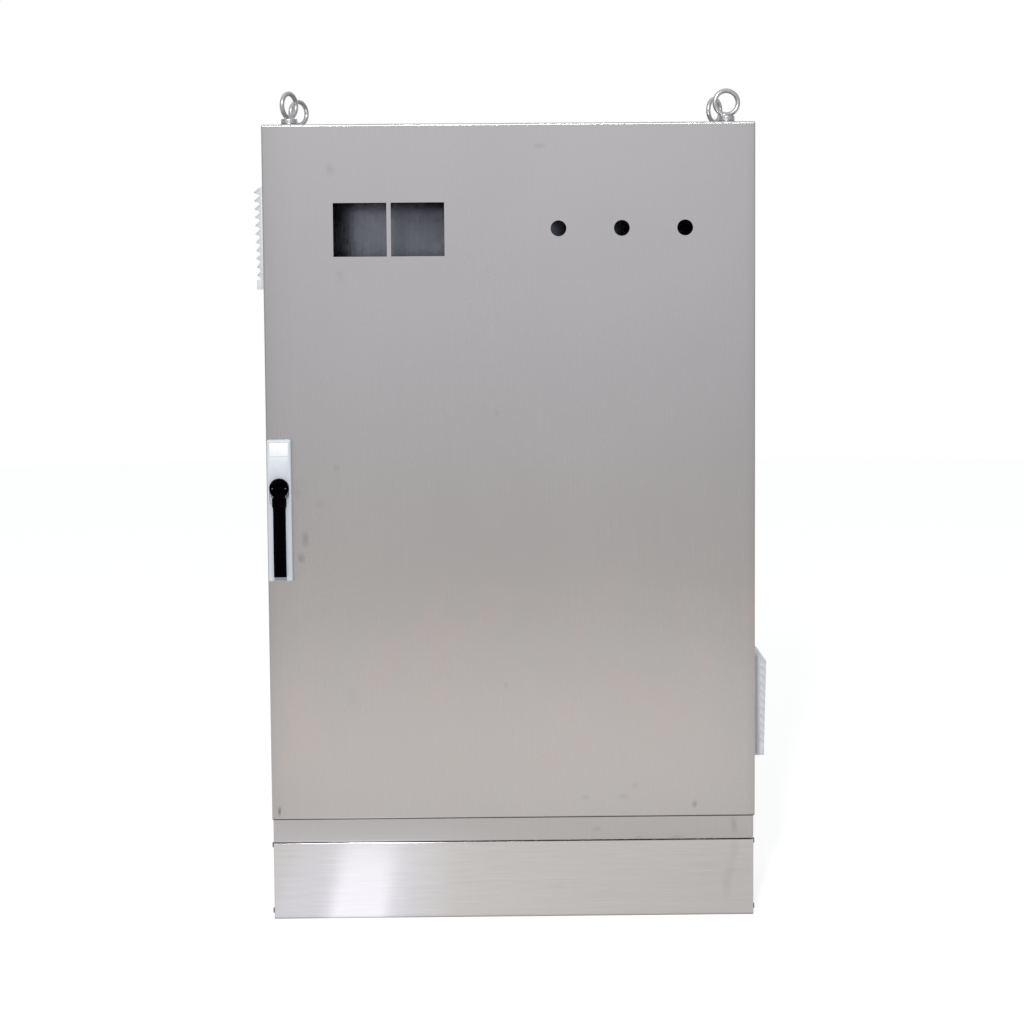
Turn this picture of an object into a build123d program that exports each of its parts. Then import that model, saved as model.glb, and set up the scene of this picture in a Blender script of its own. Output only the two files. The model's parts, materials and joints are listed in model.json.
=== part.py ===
from build123d import *
from math import acos, cos, hypot, pi, radians, sin, tan
import os

# A floor-standing stainless steel control cabinet. Millimetres, +Z up, the door faces -Y.
# The origin is on the floor, at the centre of the plinth's four floor anchor holes.

# Cabinet sizes
cabinet_width = 700.0
cabinet_height = 1150.0
body_depth = 280.0
body_sheet = 1.5
bend_radius = 3.0
rim_side = 50.0
rim_top = 50.0
rim_bottom = 50.0
opening_corner = 6.0

# Door sizes
door_sheet = 1.5
door_thickness = 16.0
door_gap = 4.0
door_base_reveal = 38.0
door_top_reveal = 1.0
gasket_thickness = 8.0
gasket_width = 14.0
gasket_clearance = 0.3

# Door layout
device_drop = 150.0
meter_cutout = 76.0
meter_pitch = 82.0
meter_inset = 179.0
pilot_hole = 22.5
pilot_pitch = 90.0
pilot_inset = 190.0

# Door rails behind the sheet
rail_inset = 20.0
rail_width = 20.0
rail_depth = 12.0
rail_sheet = 1.5
rail_end_gap = 15.0
rail_hole = 6.0
rail_hole_pitch = 50.0
rail_hole_margin = 85.0

# Plinth sizes
plinth_height = 112.0
plinth_sheet = 2.0
plinth_edge_radius = 1.2
plinth_flange = 40.0
plinth_side_flange = 22.0
plinth_side_lap = 30.0
plinth_lap_clearance = 0.3
anchor_inset_x = 50.0
anchor_inset_y = 20.0
anchor_hole = 12.0

# Screws, studs and nuts
running_fit = 0.05
overcut = 1.0
hole_clearance = 0.5
plinth_bolt = 8.0
plinth_bolt_inset = 30.0
plinth_bolt_head = 13.0
plinth_bolt_head_height = 5.3
plinth_screw = 4.0
plinth_screw_head = 7.0
plinth_screw_head_height = 3.4
plinth_screw_length = 6.0
plinth_screw_inset_y = 24.0
plinth_screw_inset_z = 7.2
small_stud = 5.0
small_nut = 8.0
small_nut_height = 4.0
plate_stud = 8.0
plate_nut = 13.0
plate_nut_height = 6.5
stud_tail = 1.5

# Mounting plate
plate_margin_x = 30.0
plate_margin_z = 49.0
plate_sheet = 2.5
plate_standoff = 20.0
plate_collar = 14.0
plate_stud_inset = 20.0
plate_corner = 6.0

# Gland plate in the floor
gland_opening_x = 400.0
gland_opening_y = 120.0
gland_lap = 20.0
gland_sheet = 2.0
gland_gasket_thickness = 2.0
gland_screw_gap = 0.3

# Lifting eyes
eye_inset_x = 36.0
eye_inset_y = 40.0
eye_thread = 10.0
eye_washer = 27.0
eye_washer_height = 2.0
eye_collar = 24.0
eye_collar_height = 7.5
eye_ring_outer = 41.0
eye_ring_wire = 7.0
eye_total_height = 49.0
eye_neck = 11.0
eye_nut = 17.0
eye_nut_height = 8.0
eye_turns = {(-1, -1): 58.0, (-1, 1): 49.0, (1, -1): 8.0, (1, 1): 53.0}

# Concealed hinges
hinge_offset = 8.0
hinge_end_distance = 130.0
hinge_height = 60.0
hinge_barrel = 8.4
hinge_pin = 5.0
hinge_pin_head = 7.5
hinge_pin_head_height = 2.0
hinge_sheet = 2.5
hinge_door_sheet = 2.0
hinge_arm_outset = 12.0
hinge_foot_width = 22.0
hinge_gap = 0.3
hinge_screw_spacing = 40.0
hinge_screw_inset = 9.0

# Swing handle
handle_inset = 18.6
handle_width = 34.0
handle_rise = 53.0
handle_length = 203.5
handle_depth = 9.0
handle_corner = 2.5
handle_chamfer = 2.0
handle_screw_inset = 13.5
handle_screw_lift = 7.4
handle_screw_bite = 2.0
handle_screw_head_height = 3.0
hub_diameter = 27.0
hub_drop = 69.0
hub_front = 18.0
hub_recess_depth = 4.0
hub_recess_reach = 15.0
hub_boss = 12.0
hub_clearance = 0.3
lever_head_width = 16.4
lever_neck_width = 19.8
lever_width = 17.6
lever_end_gap = 7.5
lever_neck_reach = 26.6
lever_thickness = 8.0
lever_pin = 3.0
lever_pin_depth = 12.5
lever_pin_length = 21.6
lever_head_radius = 5.2
lever_tip_fillet = 1.2
grip_notch_width = 18.6
grip_notch_depth = 6.0
finger_groove_width = 14.6
finger_groove_depth = 4.0
window_width = 27.0
window_height = 20.0
window_drop = 13.5
window_depth = 1.5
window_clearance = 0.15
window_stand = 0.3
window_groove = 0.8
spindle_side = 8.0

# Rod lock behind the door
gear_module = 1.5
gear_teeth = 12
gear_pressure = radians(25)
gear_addendum = 0.7
gear_root_gap = 0.25
gear_backlash = 0.16
gear_thickness = 6.0
gear_boss = 12.5
rack_back = 3.7
rack_teeth = 7
rack_lead = 2
rod_width = 16.0
rod_sheet = 3.0
rod_jog_gap = 2.8
rod_depth = 7.5
lock_case_half_height = 28.0
lock_case_depth = 14.0
lock_case_wall = 2.0
lock_case_side_wall = 1.3
rod_end_drop = 32.0
keeper_gap = 1.0
keeper_length = 20.0
keeper_sheet = 2.5
keeper_width = 28.0
keeper_lip_gap = 2.0
guide_width = 25.0
guide_height = 16.0
guide_depth = 11.5
guide_clearance = 0.2
guide_end_inset = 65.0
guide_below_hub = 73.5
guide_above_hub = 106.5

# Filter units on the side walls
outlet_drop = 160.0
fan_rise = 185.5
cover_side = 148.5
wall_cutout = 125.0
snout_clearance = 0.5
snout_wall = 2.5
snout_depth = 24.0
filter_flange = 4.0
fan_frame_outset = 6.0
filter_bar = 2.5
filter_bar_depth = 2.0
filter_bar_count = 8
mat_thickness = 14.0
mat_clearance = 0.3
cover_gap = 0.3
cover_wall = 2.5
cover_rim_reach = 12.0
cover_chamfer = 3.0
cover_reach_top = 19.5
cover_reach_bottom = 16.5
cover_block = 13.6
slat_count = 11
slat_pitch = 12.0
slat_drop = 8.0
slat_root = 5.0
slat_shoulder = 10.0
slat_thickness = 2.4
slat_end_relief = 0.6
tooth_drop = 3.2
cover_axis_inset = 2.0
cover_pin = 2.0
cover_pin_length = 14.0
cover_ear_width = 6.0
cover_ear_spacing = 100.0
cover_notch_radius = 3.6

# Fan behind the lower filter
fan_side = 119.0
fan_depth = 25.0
fan_bore = 112.0
fan_hole_spacing = 104.8
fan_hole = 4.4
fan_motor = 42.0
fan_motor_depth = 8.0
fan_strut = 5.0
fan_rotor_gap = 1.5
fan_tip_gap = 2.4
fan_blades = 7
fan_blade_pitch = 38.0
fan_blade_chord = 19.0
fan_blade_sheet = 1.6
fan_blade_root = 10.5
fan_shaft = 6.0
fan_shaft_reach = 5.0
fan_screw = 3.8
fan_screw_head = 7.0
fan_screw_head_height = 2.3
guard_wire = 1.8
guard_ears = 9.0
guard_ear_sheet = 2.0
guard_ring_spacing = 12.0
guard_ring_count = 4

# Earth stud on the cabinet floor
earth_inset_x = 100.0
earth_inset_y = 40.0
earth_stud_height = 24.0

# Places worked out from the sizes
half_width = cabinet_width / 2
body_front = -body_depth / 2
body_rear = body_depth / 2
body_height = cabinet_height - plinth_height
body_middle_z = (cabinet_height + plinth_height) / 2
floor_top = plinth_height + body_sheet
roof_under = cabinet_height - body_sheet
rear_inside = body_rear - body_sheet
door_rear = body_front - door_gap
door_front = door_rear - door_thickness
door_inner = door_front + door_sheet
door_bottom = plinth_height + door_base_reveal
door_top = cabinet_height - door_top_reveal
door_middle_z = (door_top + door_bottom) / 2
handle_top = door_middle_z + handle_rise
opening_half = half_width - rim_side
opening_bottom = door_bottom + rim_bottom
opening_top = cabinet_height - rim_top
opening_middle_z = (opening_top + opening_bottom) / 2
anchor_spacing_x = cabinet_width - 2 * anchor_inset_x
anchor_spacing_y = body_depth - 2 * anchor_inset_y
plinth_bolt_x = half_width - plinth_bolt_inset
eye_x = half_width - eye_inset_x
eye_y = body_rear - eye_inset_y
plate_width = cabinet_width - 2 * plate_margin_x
plate_height = body_height - 2 * plate_margin_z
lip_front = door_inner + gasket_thickness + gasket_clearance
device_z = cabinet_height - device_drop
meter_centre_x = -half_width + meter_inset
pilot_centre_x = half_width - pilot_inset
rail_centre_x = opening_half - rail_inset
outlet_centre_z = cabinet_height - outlet_drop
fan_centre_z = plinth_height + fan_rise
earth_stud_x = half_width - earth_inset_x
earth_stud_y = body_front + earth_inset_y
hinge_x = half_width - hinge_offset
hinge_y = door_rear - hinge_offset
hinge_places = (door_bottom + hinge_end_distance, door_top - hinge_end_distance)
hinge_foot_outer = hinge_x - hinge_arm_outset
hinge_screw_x = hinge_foot_outer - hinge_foot_width + hinge_screw_inset
handle_x = -half_width + handle_inset
handle_bottom = handle_top - handle_length
handle_front = door_front - handle_depth
hub_z = handle_top - hub_drop
recess_floor = handle_front + hub_recess_depth
pin_y = door_front - lever_pin_depth
pitch_radius = gear_module * gear_teeth / 2
rack_travel = pitch_radius * pi / 2
rack_tip = pitch_radius - gear_addendum * gear_module
rack_root = pitch_radius + gear_addendum * gear_module + gear_root_gap
rack_outer = rack_root + rack_back
rod_jog = lock_case_half_height + rack_travel + rod_jog_gap
rod_y = door_inner + rod_depth
upper_rod_end = door_top - rod_end_drop
lower_rod_end = door_bottom + rod_end_drop
plate_rear = rear_inside - plate_standoff
plate_front = plate_rear - plate_sheet
snout_side = wall_cutout - 2 * snout_clearance
snout_inner = snout_side - 2 * snout_wall
cover_half = cover_side / 2
cover_back = filter_flange + cover_gap
cover_axis_out = cover_back + cover_axis_inset
cover_axis_drop = cover_half - cover_axis_inset
fan_out = -snout_depth
corners = [(sx, sy) for sx in (-1, 1) for sy in (-1, 1)]


# Planes and shapes used by several pieces


def facing_front(y, x=0.0, z=0.0):
    """A plane at depth y that faces the viewer, its local axes along X and Z."""
    return Plane(origin=(x, y, z), x_dir=(1, 0, 0), z_dir=(0, -1, 0))


def facing_side(side, out, z):
    """A plane parallel to a side wall, out from it, with its local Y axis up."""
    return Plane(origin=(side * (half_width + out), 0, z), x_dir=(0, side, 0), z_dir=(side, 0, 0))


def side_profile(side, z, y=0.0, out=0.0):
    """A plane across a side wall: local X runs outwards from the wall and local Y is up."""
    return Plane(origin=(side * (half_width + out), y, z), x_dir=(side, 0, 0), z_dir=(0, -side, 0))


def block(x, y, z, mode=Mode.ADD):
    """A box between the two ends given on each axis."""
    with Locations(((x[0] + x[1]) / 2, (y[0] + y[1]) / 2, (z[0] + z[1]) / 2)):
        Box(x[1] - x[0], y[1] - y[0], z[1] - z[0], mode=mode)


def bar(start, end, diameter, mode=Mode.ADD):
    """A round bar, or a round hole, between two points."""
    run = Vector(*end) - Vector(*start)
    with Locations(Plane(origin=start, z_dir=run)):
        Cylinder(diameter / 2, run.length, align=(Align.CENTER, Align.CENTER, Align.MIN), mode=mode)


def hex_head(start, end, across_flats, bore=0.0):
    """A hexagon between two points, with a bore where it is a nut."""
    run = Vector(*end) - Vector(*start)
    with BuildSketch(Plane(origin=start, z_dir=run)) as outline:
        RegularPolygon(across_flats / 2, 6, major_radius=False)
        if bore:
            Circle(bore / 2, mode=Mode.SUBTRACT)
    extrude(outline.sketch, amount=run.length)


# Body shell

with BuildPart() as body_hollow:
    with BuildSketch(Plane.XY.offset(floor_top)):
        Rectangle(cabinet_width - 2 * body_sheet, body_depth - 2 * body_sheet)
    extrude(amount=body_height - 2 * body_sheet)
    fillet(body_hollow.edges(), bend_radius - body_sheet)

with BuildPart() as body_shell:
    with BuildSketch(Plane.XY.offset(plinth_height)):
        Rectangle(cabinet_width, body_depth)
    extrude(amount=body_height)
    fillet(body_shell.edges(), bend_radius)
    add(body_hollow.part, mode=Mode.SUBTRACT)
    # Forward lip around the door opening, which the door gasket meets
    with BuildSketch(facing_front(body_front, z=opening_middle_z)):
        RectangleRounded(
            2 * (opening_half + body_sheet),
            opening_top - opening_bottom + 2 * body_sheet,
            opening_corner + body_sheet,
        )
    extrude(amount=body_front - lip_front)
    with BuildSketch(facing_front(lip_front, z=opening_middle_z)):
        RectangleRounded(2 * opening_half, opening_top - opening_bottom, opening_corner)
    extrude(amount=lip_front - body_front - body_sheet, mode=Mode.SUBTRACT)
    # Cut-outs for the two filter units
    for side, centre_z in ((-1, outlet_centre_z), (1, fan_centre_z)):
        block(
            sorted((side * (half_width - body_sheet - overcut), side * (half_width + overcut))),
            (-wall_cutout / 2, wall_cutout / 2),
            (centre_z - wall_cutout / 2, centre_z + wall_cutout / 2),
            mode=Mode.SUBTRACT,
        )
    # Gland opening in the floor
    block(
        (-gland_opening_x / 2, gland_opening_x / 2),
        (-gland_opening_y / 2, gland_opening_y / 2),
        (plinth_height - overcut, floor_top + overcut),
        mode=Mode.SUBTRACT,
    )
    for sx, sy in corners:
        x, y = sx * plinth_bolt_x, sy * anchor_spacing_y / 2
        bar(
            (x, y, plinth_height - overcut),
            (x, y, floor_top + overcut),
            plinth_bolt + hole_clearance,
            Mode.SUBTRACT,
        )
    for sx, sy in corners:
        x, y = sx * eye_x, sy * eye_y
        bar(
            (x, y, roof_under - overcut),
            (x, y, cabinet_height + overcut),
            eye_thread + hole_clearance,
            Mode.SUBTRACT,
        )
    for z in hinge_places:
        for step in (-0.5, 0.5):
            place = z + step * hinge_screw_spacing
            bar(
                (hinge_screw_x, body_front - overcut, place),
                (hinge_screw_x, body_front + body_sheet + overcut, place),
                small_stud + hole_clearance,
                Mode.SUBTRACT,
            )

# Mounting plate on four collar studs

plate_corners = [
    (sx * (plate_width / 2 - plate_stud_inset), body_middle_z + sz * (plate_height / 2 - plate_stud_inset))
    for sx, sz in corners
]

with BuildPart() as mounting_plate:
    with BuildSketch(facing_front(plate_front, z=body_middle_z)):
        RectangleRounded(plate_width, plate_height, plate_corner)
        for x, z in plate_corners:
            with Locations((x, z - body_middle_z)):
                Circle((plate_stud + hole_clearance) / 2, mode=Mode.SUBTRACT)
    extrude(amount=-plate_sheet)

with BuildPart() as plate_studs:
    for x, z in plate_corners:
        bar((x, rear_inside, z), (x, plate_rear, z), plate_collar)
        bar((x, rear_inside, z), (x, plate_front - plate_nut_height - stud_tail, z), plate_stud)

with BuildPart() as plate_nuts:
    for x, z in plate_corners:
        hex_head(
            (x, plate_front, z),
            (x, plate_front - plate_nut_height, z),
            plate_nut,
            plate_stud + 2 * running_fit,
        )

# Gland plate, its gasket and screws

gland_x = gland_opening_x + 2 * gland_lap
gland_y = gland_opening_y + 2 * gland_lap
gland_plate_z = floor_top + gland_gasket_thickness
gland_screws_at = [
    (step * (gland_x - gland_lap) / 2, sy * (gland_y - gland_lap) / 2)
    for step in (-1, 0, 1)
    for sy in (-1, 1)
]

with BuildPart() as gland_gasket:
    with BuildSketch(Plane.XY.offset(floor_top)):
        Rectangle(gland_x, gland_y)
        Rectangle(gland_opening_x, gland_opening_y, mode=Mode.SUBTRACT)
        with Locations(*gland_screws_at):
            Circle((small_stud + hole_clearance) / 2, mode=Mode.SUBTRACT)
    extrude(amount=gland_gasket_thickness)

with BuildPart() as gland_plate:
    with BuildSketch(Plane.XY.offset(gland_plate_z)):
        Rectangle(gland_x, gland_y)
        with Locations(*gland_screws_at):
            Circle((small_stud + hole_clearance) / 2, mode=Mode.SUBTRACT)
    extrude(amount=gland_sheet)

with BuildPart() as gland_screws:
    for x, y in gland_screws_at:
        hex_head(
            (x, y, gland_plate_z + gland_sheet),
            (x, y, gland_plate_z + gland_sheet + small_nut_height),
            small_nut,
        )
        bar((x, y, gland_plate_z + gland_sheet), (x, y, floor_top + gland_screw_gap), small_stud)

# Plinth: front and rear trays with end returns, side panels lapped behind them

plinth_screw_y = body_depth / 2 - plinth_screw_inset_y
plinth_screw_heights = (plinth_screw_inset_z, plinth_height - plinth_screw_inset_z)


def plinth_tray(sy):
    """The front (-1) or rear (+1) tray of the plinth, open towards the middle."""
    outer_y = sy * body_depth / 2
    inner_y = sy * (body_depth / 2 - plinth_flange)
    with BuildPart() as tray:
        block((-half_width, half_width), sorted((outer_y, inner_y)), (0, plinth_height))
        fillet(tray.faces().sort_by(Axis.Y)[0 if sy < 0 else -1].edges(), plinth_edge_radius)
        block(
            (-half_width + plinth_sheet, half_width - plinth_sheet),
            sorted((outer_y - sy * plinth_sheet, inner_y - sy)),
            (plinth_sheet, plinth_height - plinth_sheet),
            mode=Mode.SUBTRACT,
        )
        for sx in (-1, 1):
            anchor = (sx * anchor_spacing_x / 2, sy * anchor_spacing_y / 2)
            bar((*anchor, -overcut), (*anchor, plinth_sheet + overcut), anchor_hole, Mode.SUBTRACT)
            bolt = (sx * plinth_bolt_x, sy * anchor_spacing_y / 2)
            bar(
                (*bolt, plinth_height - plinth_sheet - overcut),
                (*bolt, plinth_height + overcut),
                plinth_bolt + hole_clearance,
                Mode.SUBTRACT,
            )
            for z in plinth_screw_heights:
                bar(
                    (sx * (half_width - plinth_sheet - overcut), sy * plinth_screw_y, z),
                    (sx * (half_width + overcut), sy * plinth_screw_y, z),
                    plinth_screw + 2 * running_fit,
                    Mode.SUBTRACT,
                )
    return tray


def plinth_side(sx):
    """A side panel of the plinth, its ends lapped behind the returns of the trays."""
    outer = half_width - plinth_sheet
    inner = outer - plinth_sheet
    middle = body_depth / 2 - plinth_flange - plinth_lap_clearance
    reach = middle + plinth_side_lap
    lap_low = plinth_sheet + plinth_lap_clearance
    with BuildPart() as panel:
        block(sorted((sx * inner, sx * outer)), (-reach, reach), (lap_low, plinth_height - lap_low))
        block(sorted((sx * inner, sx * outer)), (-middle, middle), (0, plinth_height))
        flange = sorted((sx * inner, sx * (inner - plinth_side_flange)))
        block(flange, (-middle, middle), (0, plinth_sheet))
        block(flange, (-middle, middle), (plinth_height - plinth_sheet, plinth_height))
        for sy in (-1, 1):
            for z in plinth_screw_heights:
                bar(
                    (sx * (inner - overcut), sy * plinth_screw_y, z),
                    (sx * (outer + overcut), sy * plinth_screw_y, z),
                    plinth_screw + 2 * running_fit,
                    Mode.SUBTRACT,
                )
    return panel


plinth_front = plinth_tray(-1)
plinth_rear = plinth_tray(1)
plinth_side_left = plinth_side(-1)
plinth_side_right = plinth_side(1)

with BuildPart() as plinth_screws:
    for sx, sy in corners:
        for z in plinth_screw_heights:
            y = sy * plinth_screw_y
            bar((sx * (half_width - plinth_screw_length), y, z), (sx * half_width, y, z), plinth_screw)
            hex_head(
                (sx * half_width, y, z),
                (sx * (half_width + plinth_screw_head_height), y, z),
                plinth_screw_head,
            )

with BuildPart() as plinth_bolts:
    for sx, sy in corners:
        x, y = sx * plinth_bolt_x, sy * anchor_spacing_y / 2
        hex_head((x, y, floor_top), (x, y, floor_top + plinth_bolt_head_height), plinth_bolt_head)
        end = plinth_height - plinth_sheet - plate_nut_height - stud_tail
        bar((x, y, floor_top), (x, y, end), plinth_bolt)

with BuildPart() as plinth_nuts:
    for sx, sy in corners:
        x, y = sx * plinth_bolt_x, sy * anchor_spacing_y / 2
        top = plinth_height - plinth_sheet
        hex_head((x, y, top), (x, y, top - plate_nut_height), plate_nut, plinth_bolt + 2 * running_fit)

# Lifting eyes with their washers and nuts

eye_ring_radius = (eye_ring_outer - eye_ring_wire) / 2
eye_ring_z = cabinet_height + eye_total_height - eye_ring_outer / 2
eye_collar_top = cabinet_height + eye_washer_height + eye_collar_height

with BuildPart() as eye_bolts:
    for corner, turn in eye_turns.items():
        x, y = corner[0] * eye_x, corner[1] * eye_y
        bar((x, y, eye_collar_top - eye_collar_height), (x, y, eye_collar_top), eye_collar)
        bar((x, y, eye_collar_top), (x, y, eye_ring_z - eye_ring_radius), eye_neck)
        bar((x, y, eye_collar_top), (x, y, roof_under - eye_nut_height - stud_tail), eye_thread)
        normal = (-sin(radians(turn)), cos(radians(turn)), 0)
        with Locations(Plane(origin=(x, y, eye_ring_z), x_dir=(0, 0, 1), z_dir=normal)):
            Torus(eye_ring_radius, eye_ring_wire / 2)

with BuildPart() as eye_washers:
    for sx, sy in corners:
        x, y = sx * eye_x, sy * eye_y
        top = cabinet_height + eye_washer_height
        bar((x, y, cabinet_height), (x, y, top), eye_washer)
        bar((x, y, cabinet_height), (x, y, top), eye_thread + 2 * running_fit, Mode.SUBTRACT)

with BuildPart() as eye_nuts:
    for sx, sy in corners:
        x, y = sx * eye_x, sy * eye_y
        low = roof_under - eye_nut_height
        hex_head((x, y, roof_under), (x, y, low), eye_nut, eye_thread + 2 * running_fit)

# Door panel, a folded tray

with BuildPart() as door_hollow:
    with BuildSketch(facing_front(door_inner, z=door_middle_z)):
        Rectangle(cabinet_width - 2 * door_sheet, door_top - door_bottom - 2 * door_sheet)
    extrude(amount=-(door_rear - door_inner) - door_thickness)
    inner_front = door_hollow.faces().sort_by(Axis.Y)[0]
    fillet(inner_front.edges() + door_hollow.edges().filter_by(Axis.Y), bend_radius - door_sheet)

meter_places = [(meter_centre_x + step * meter_pitch, device_z) for step in (-0.5, 0.5)]
pilot_places = [(pilot_centre_x + step * pilot_pitch, device_z) for step in (-1, 0, 1)]
handle_screw_heights = (
    handle_bottom + handle_screw_inset,
    hub_z + lock_case_half_height + handle_screw_lift,
)

with BuildPart() as door_panel:
    with BuildSketch(facing_front(door_rear, z=door_middle_z)):
        Rectangle(cabinet_width, door_top - door_bottom)
    extrude(amount=door_thickness)
    outer_front = door_panel.faces().sort_by(Axis.Y)[0]
    fillet(outer_front.edges() + door_panel.edges().filter_by(Axis.Y), bend_radius)
    add(door_hollow.part, mode=Mode.SUBTRACT)
    with BuildSketch(facing_front(door_front)):
        with Locations(*meter_places):
            Rectangle(meter_cutout, meter_cutout)
        with Locations(*pilot_places):
            Circle(pilot_hole / 2)
        with Locations((handle_x, hub_z)):
            Circle(hub_boss / 2 + hole_clearance)
        with Locations(*[(handle_x, z) for z in handle_screw_heights]):
            Circle((small_stud + hole_clearance) / 2)
    extrude(amount=-door_sheet, mode=Mode.SUBTRACT)

with BuildPart() as door_gasket:
    seal_height = opening_top - opening_bottom
    with BuildSketch(facing_front(door_inner, z=opening_middle_z)):
        RectangleRounded(
            2 * opening_half + gasket_width, seal_height + gasket_width, opening_corner + gasket_width / 2
        )
        Rectangle(2 * opening_half - gasket_width, seal_height - gasket_width, mode=Mode.SUBTRACT)
    extrude(amount=-gasket_thickness)

# Door rails, hinge leaves, and the studs and nuts that hold them

rail_bottom = opening_bottom + rail_end_gap
rail_top = opening_top - rail_end_gap
rail_middle_z = (rail_bottom + rail_top) / 2
rail_hole_count = int((rail_top - rail_bottom - 2 * rail_hole_margin) / rail_hole_pitch) + 1
rail_back = door_inner + rail_depth
rail_stud_heights = (rail_bottom + rail_end_gap, rail_middle_z, rail_top - rail_end_gap)

with BuildPart() as door_rails:
    for side in (-1, 1):
        x = side * rail_centre_x
        block((x - rail_width / 2, x + rail_width / 2), (door_inner, rail_back), (rail_bottom, rail_top))
        block(
            (x - rail_width / 2 + rail_sheet, x + rail_width / 2 - rail_sheet),
            (door_inner - overcut, rail_back - rail_sheet),
            (rail_bottom - overcut, rail_top + overcut),
            mode=Mode.SUBTRACT,
        )
        with BuildSketch(facing_front(rail_back - rail_sheet, x, rail_middle_z)):
            with GridLocations(0, rail_hole_pitch, 1, rail_hole_count):
                Circle(rail_hole / 2)
        extrude(amount=-rail_sheet, mode=Mode.SUBTRACT)
        for z in rail_stud_heights:
            rail_face = rail_back - rail_sheet
            bar(
                (x, rail_face - overcut, z),
                (x, rail_back + overcut, z),
                small_stud + hole_clearance,
                Mode.SUBTRACT,
            )

hinge_arm_inner = hinge_foot_outer - hinge_sheet
hinge_leaf_inner = hinge_foot_outer - hinge_foot_width
barrel_half = hinge_height / 4

with BuildPart() as hinge_body_leaves:
    for z in hinge_places:
        foot_z = (z - hinge_height / 2, z + hinge_height / 2)
        block((hinge_leaf_inner, hinge_foot_outer), (body_front - hinge_sheet, body_front), foot_z)
        arm_z = (z - barrel_half, z + barrel_half)
        arm_front = hinge_y - hinge_sheet / 2
        block((hinge_arm_inner, hinge_foot_outer), (arm_front, body_front), arm_z)
        block((hinge_arm_inner, hinge_x), (arm_front, arm_front + hinge_sheet), arm_z)
        bar((hinge_x, hinge_y, arm_z[0]), (hinge_x, hinge_y, arm_z[1]), hinge_barrel)
        bar(
            (hinge_x, hinge_y, arm_z[0] - overcut),
            (hinge_x, hinge_y, arm_z[1] + overcut),
            hinge_pin + 2 * running_fit,
            Mode.SUBTRACT,
        )
        for step in (-0.5, 0.5):
            place = z + step * hinge_screw_spacing
            bar(
                (hinge_screw_x, body_front - hinge_sheet - overcut, place),
                (hinge_screw_x, body_front + overcut, place),
                small_stud + hole_clearance,
                Mode.SUBTRACT,
            )

with BuildPart() as hinge_leaf_screws:
    for z in hinge_places:
        for step in (-0.5, 0.5):
            place = z + step * hinge_screw_spacing
            head = body_front - hinge_sheet
            hex_head((hinge_screw_x, head, place), (hinge_screw_x, head - small_nut_height, place), small_nut)
            tail = body_front + body_sheet + stud_tail
            bar((hinge_screw_x, head, place), (hinge_screw_x, tail, place), small_stud)

with BuildPart() as hinge_door_leaves:
    for z in hinge_places:
        leaf_rear = door_inner + hinge_door_sheet
        block(
            (hinge_leaf_inner, hinge_x + hinge_barrel / 2),
            (door_inner, leaf_rear),
            (z - hinge_height / 2, z + hinge_height / 2),
        )
        for low, high in (
            (z + barrel_half + hinge_gap, z + hinge_height / 2),
            (z - hinge_height / 2, z - barrel_half - hinge_gap),
        ):
            bar((hinge_x, hinge_y, low), (hinge_x, hinge_y, high), hinge_barrel)
            block((hinge_x - hinge_barrel / 2, hinge_x + hinge_barrel / 2), (leaf_rear, hinge_y), (low, high))
        bar(
            (hinge_x, hinge_y, z - hinge_height),
            (hinge_x, hinge_y, z + hinge_height),
            hinge_pin + 2 * running_fit,
            Mode.SUBTRACT,
        )
        for step in (-0.5, 0.5):
            place = z + step * hinge_screw_spacing
            bar(
                (hinge_screw_x, door_inner - overcut, place),
                (hinge_screw_x, leaf_rear + overcut, place),
                small_stud + hole_clearance,
                Mode.SUBTRACT,
            )

with BuildPart() as hinge_pins:
    for z in hinge_places:
        top = z + hinge_height / 2
        bar((hinge_x, hinge_y, z - hinge_height / 2), (hinge_x, hinge_y, top), hinge_pin)
        bar((hinge_x, hinge_y, top), (hinge_x, hinge_y, top + hinge_pin_head_height), hinge_pin_head)

hinge_stud_places = [
    (hinge_screw_x, z + step * hinge_screw_spacing) for z in hinge_places for step in (-0.5, 0.5)
]
rail_stud_places = [(side * rail_centre_x, z) for side in (-1, 1) for z in rail_stud_heights]
stud_groups = (
    (hinge_stud_places, door_inner + hinge_door_sheet),
    (rail_stud_places, rail_back),
)

with BuildPart() as door_studs:
    for places, seat in stud_groups:
        for x, z in places:
            bar((x, door_inner, z), (x, seat + small_nut_height + stud_tail, z), small_stud)

with BuildPart() as door_nuts:
    for places, seat in stud_groups:
        for x, z in places:
            hex_head((x, seat, z), (x, seat + small_nut_height, z), small_nut, small_stud + 2 * running_fit)

# Swing handle: housing, window, hub, lever and pin

recess_middle = hub_z - hub_recess_reach / 2
neck_end = hub_z - lever_neck_reach
lever_end = handle_bottom + lever_end_gap
lever_rear = handle_front - hole_clearance
lever_face = lever_rear - lever_thickness
hub_face = door_front - hub_front
window_z = handle_top - window_drop

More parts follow.
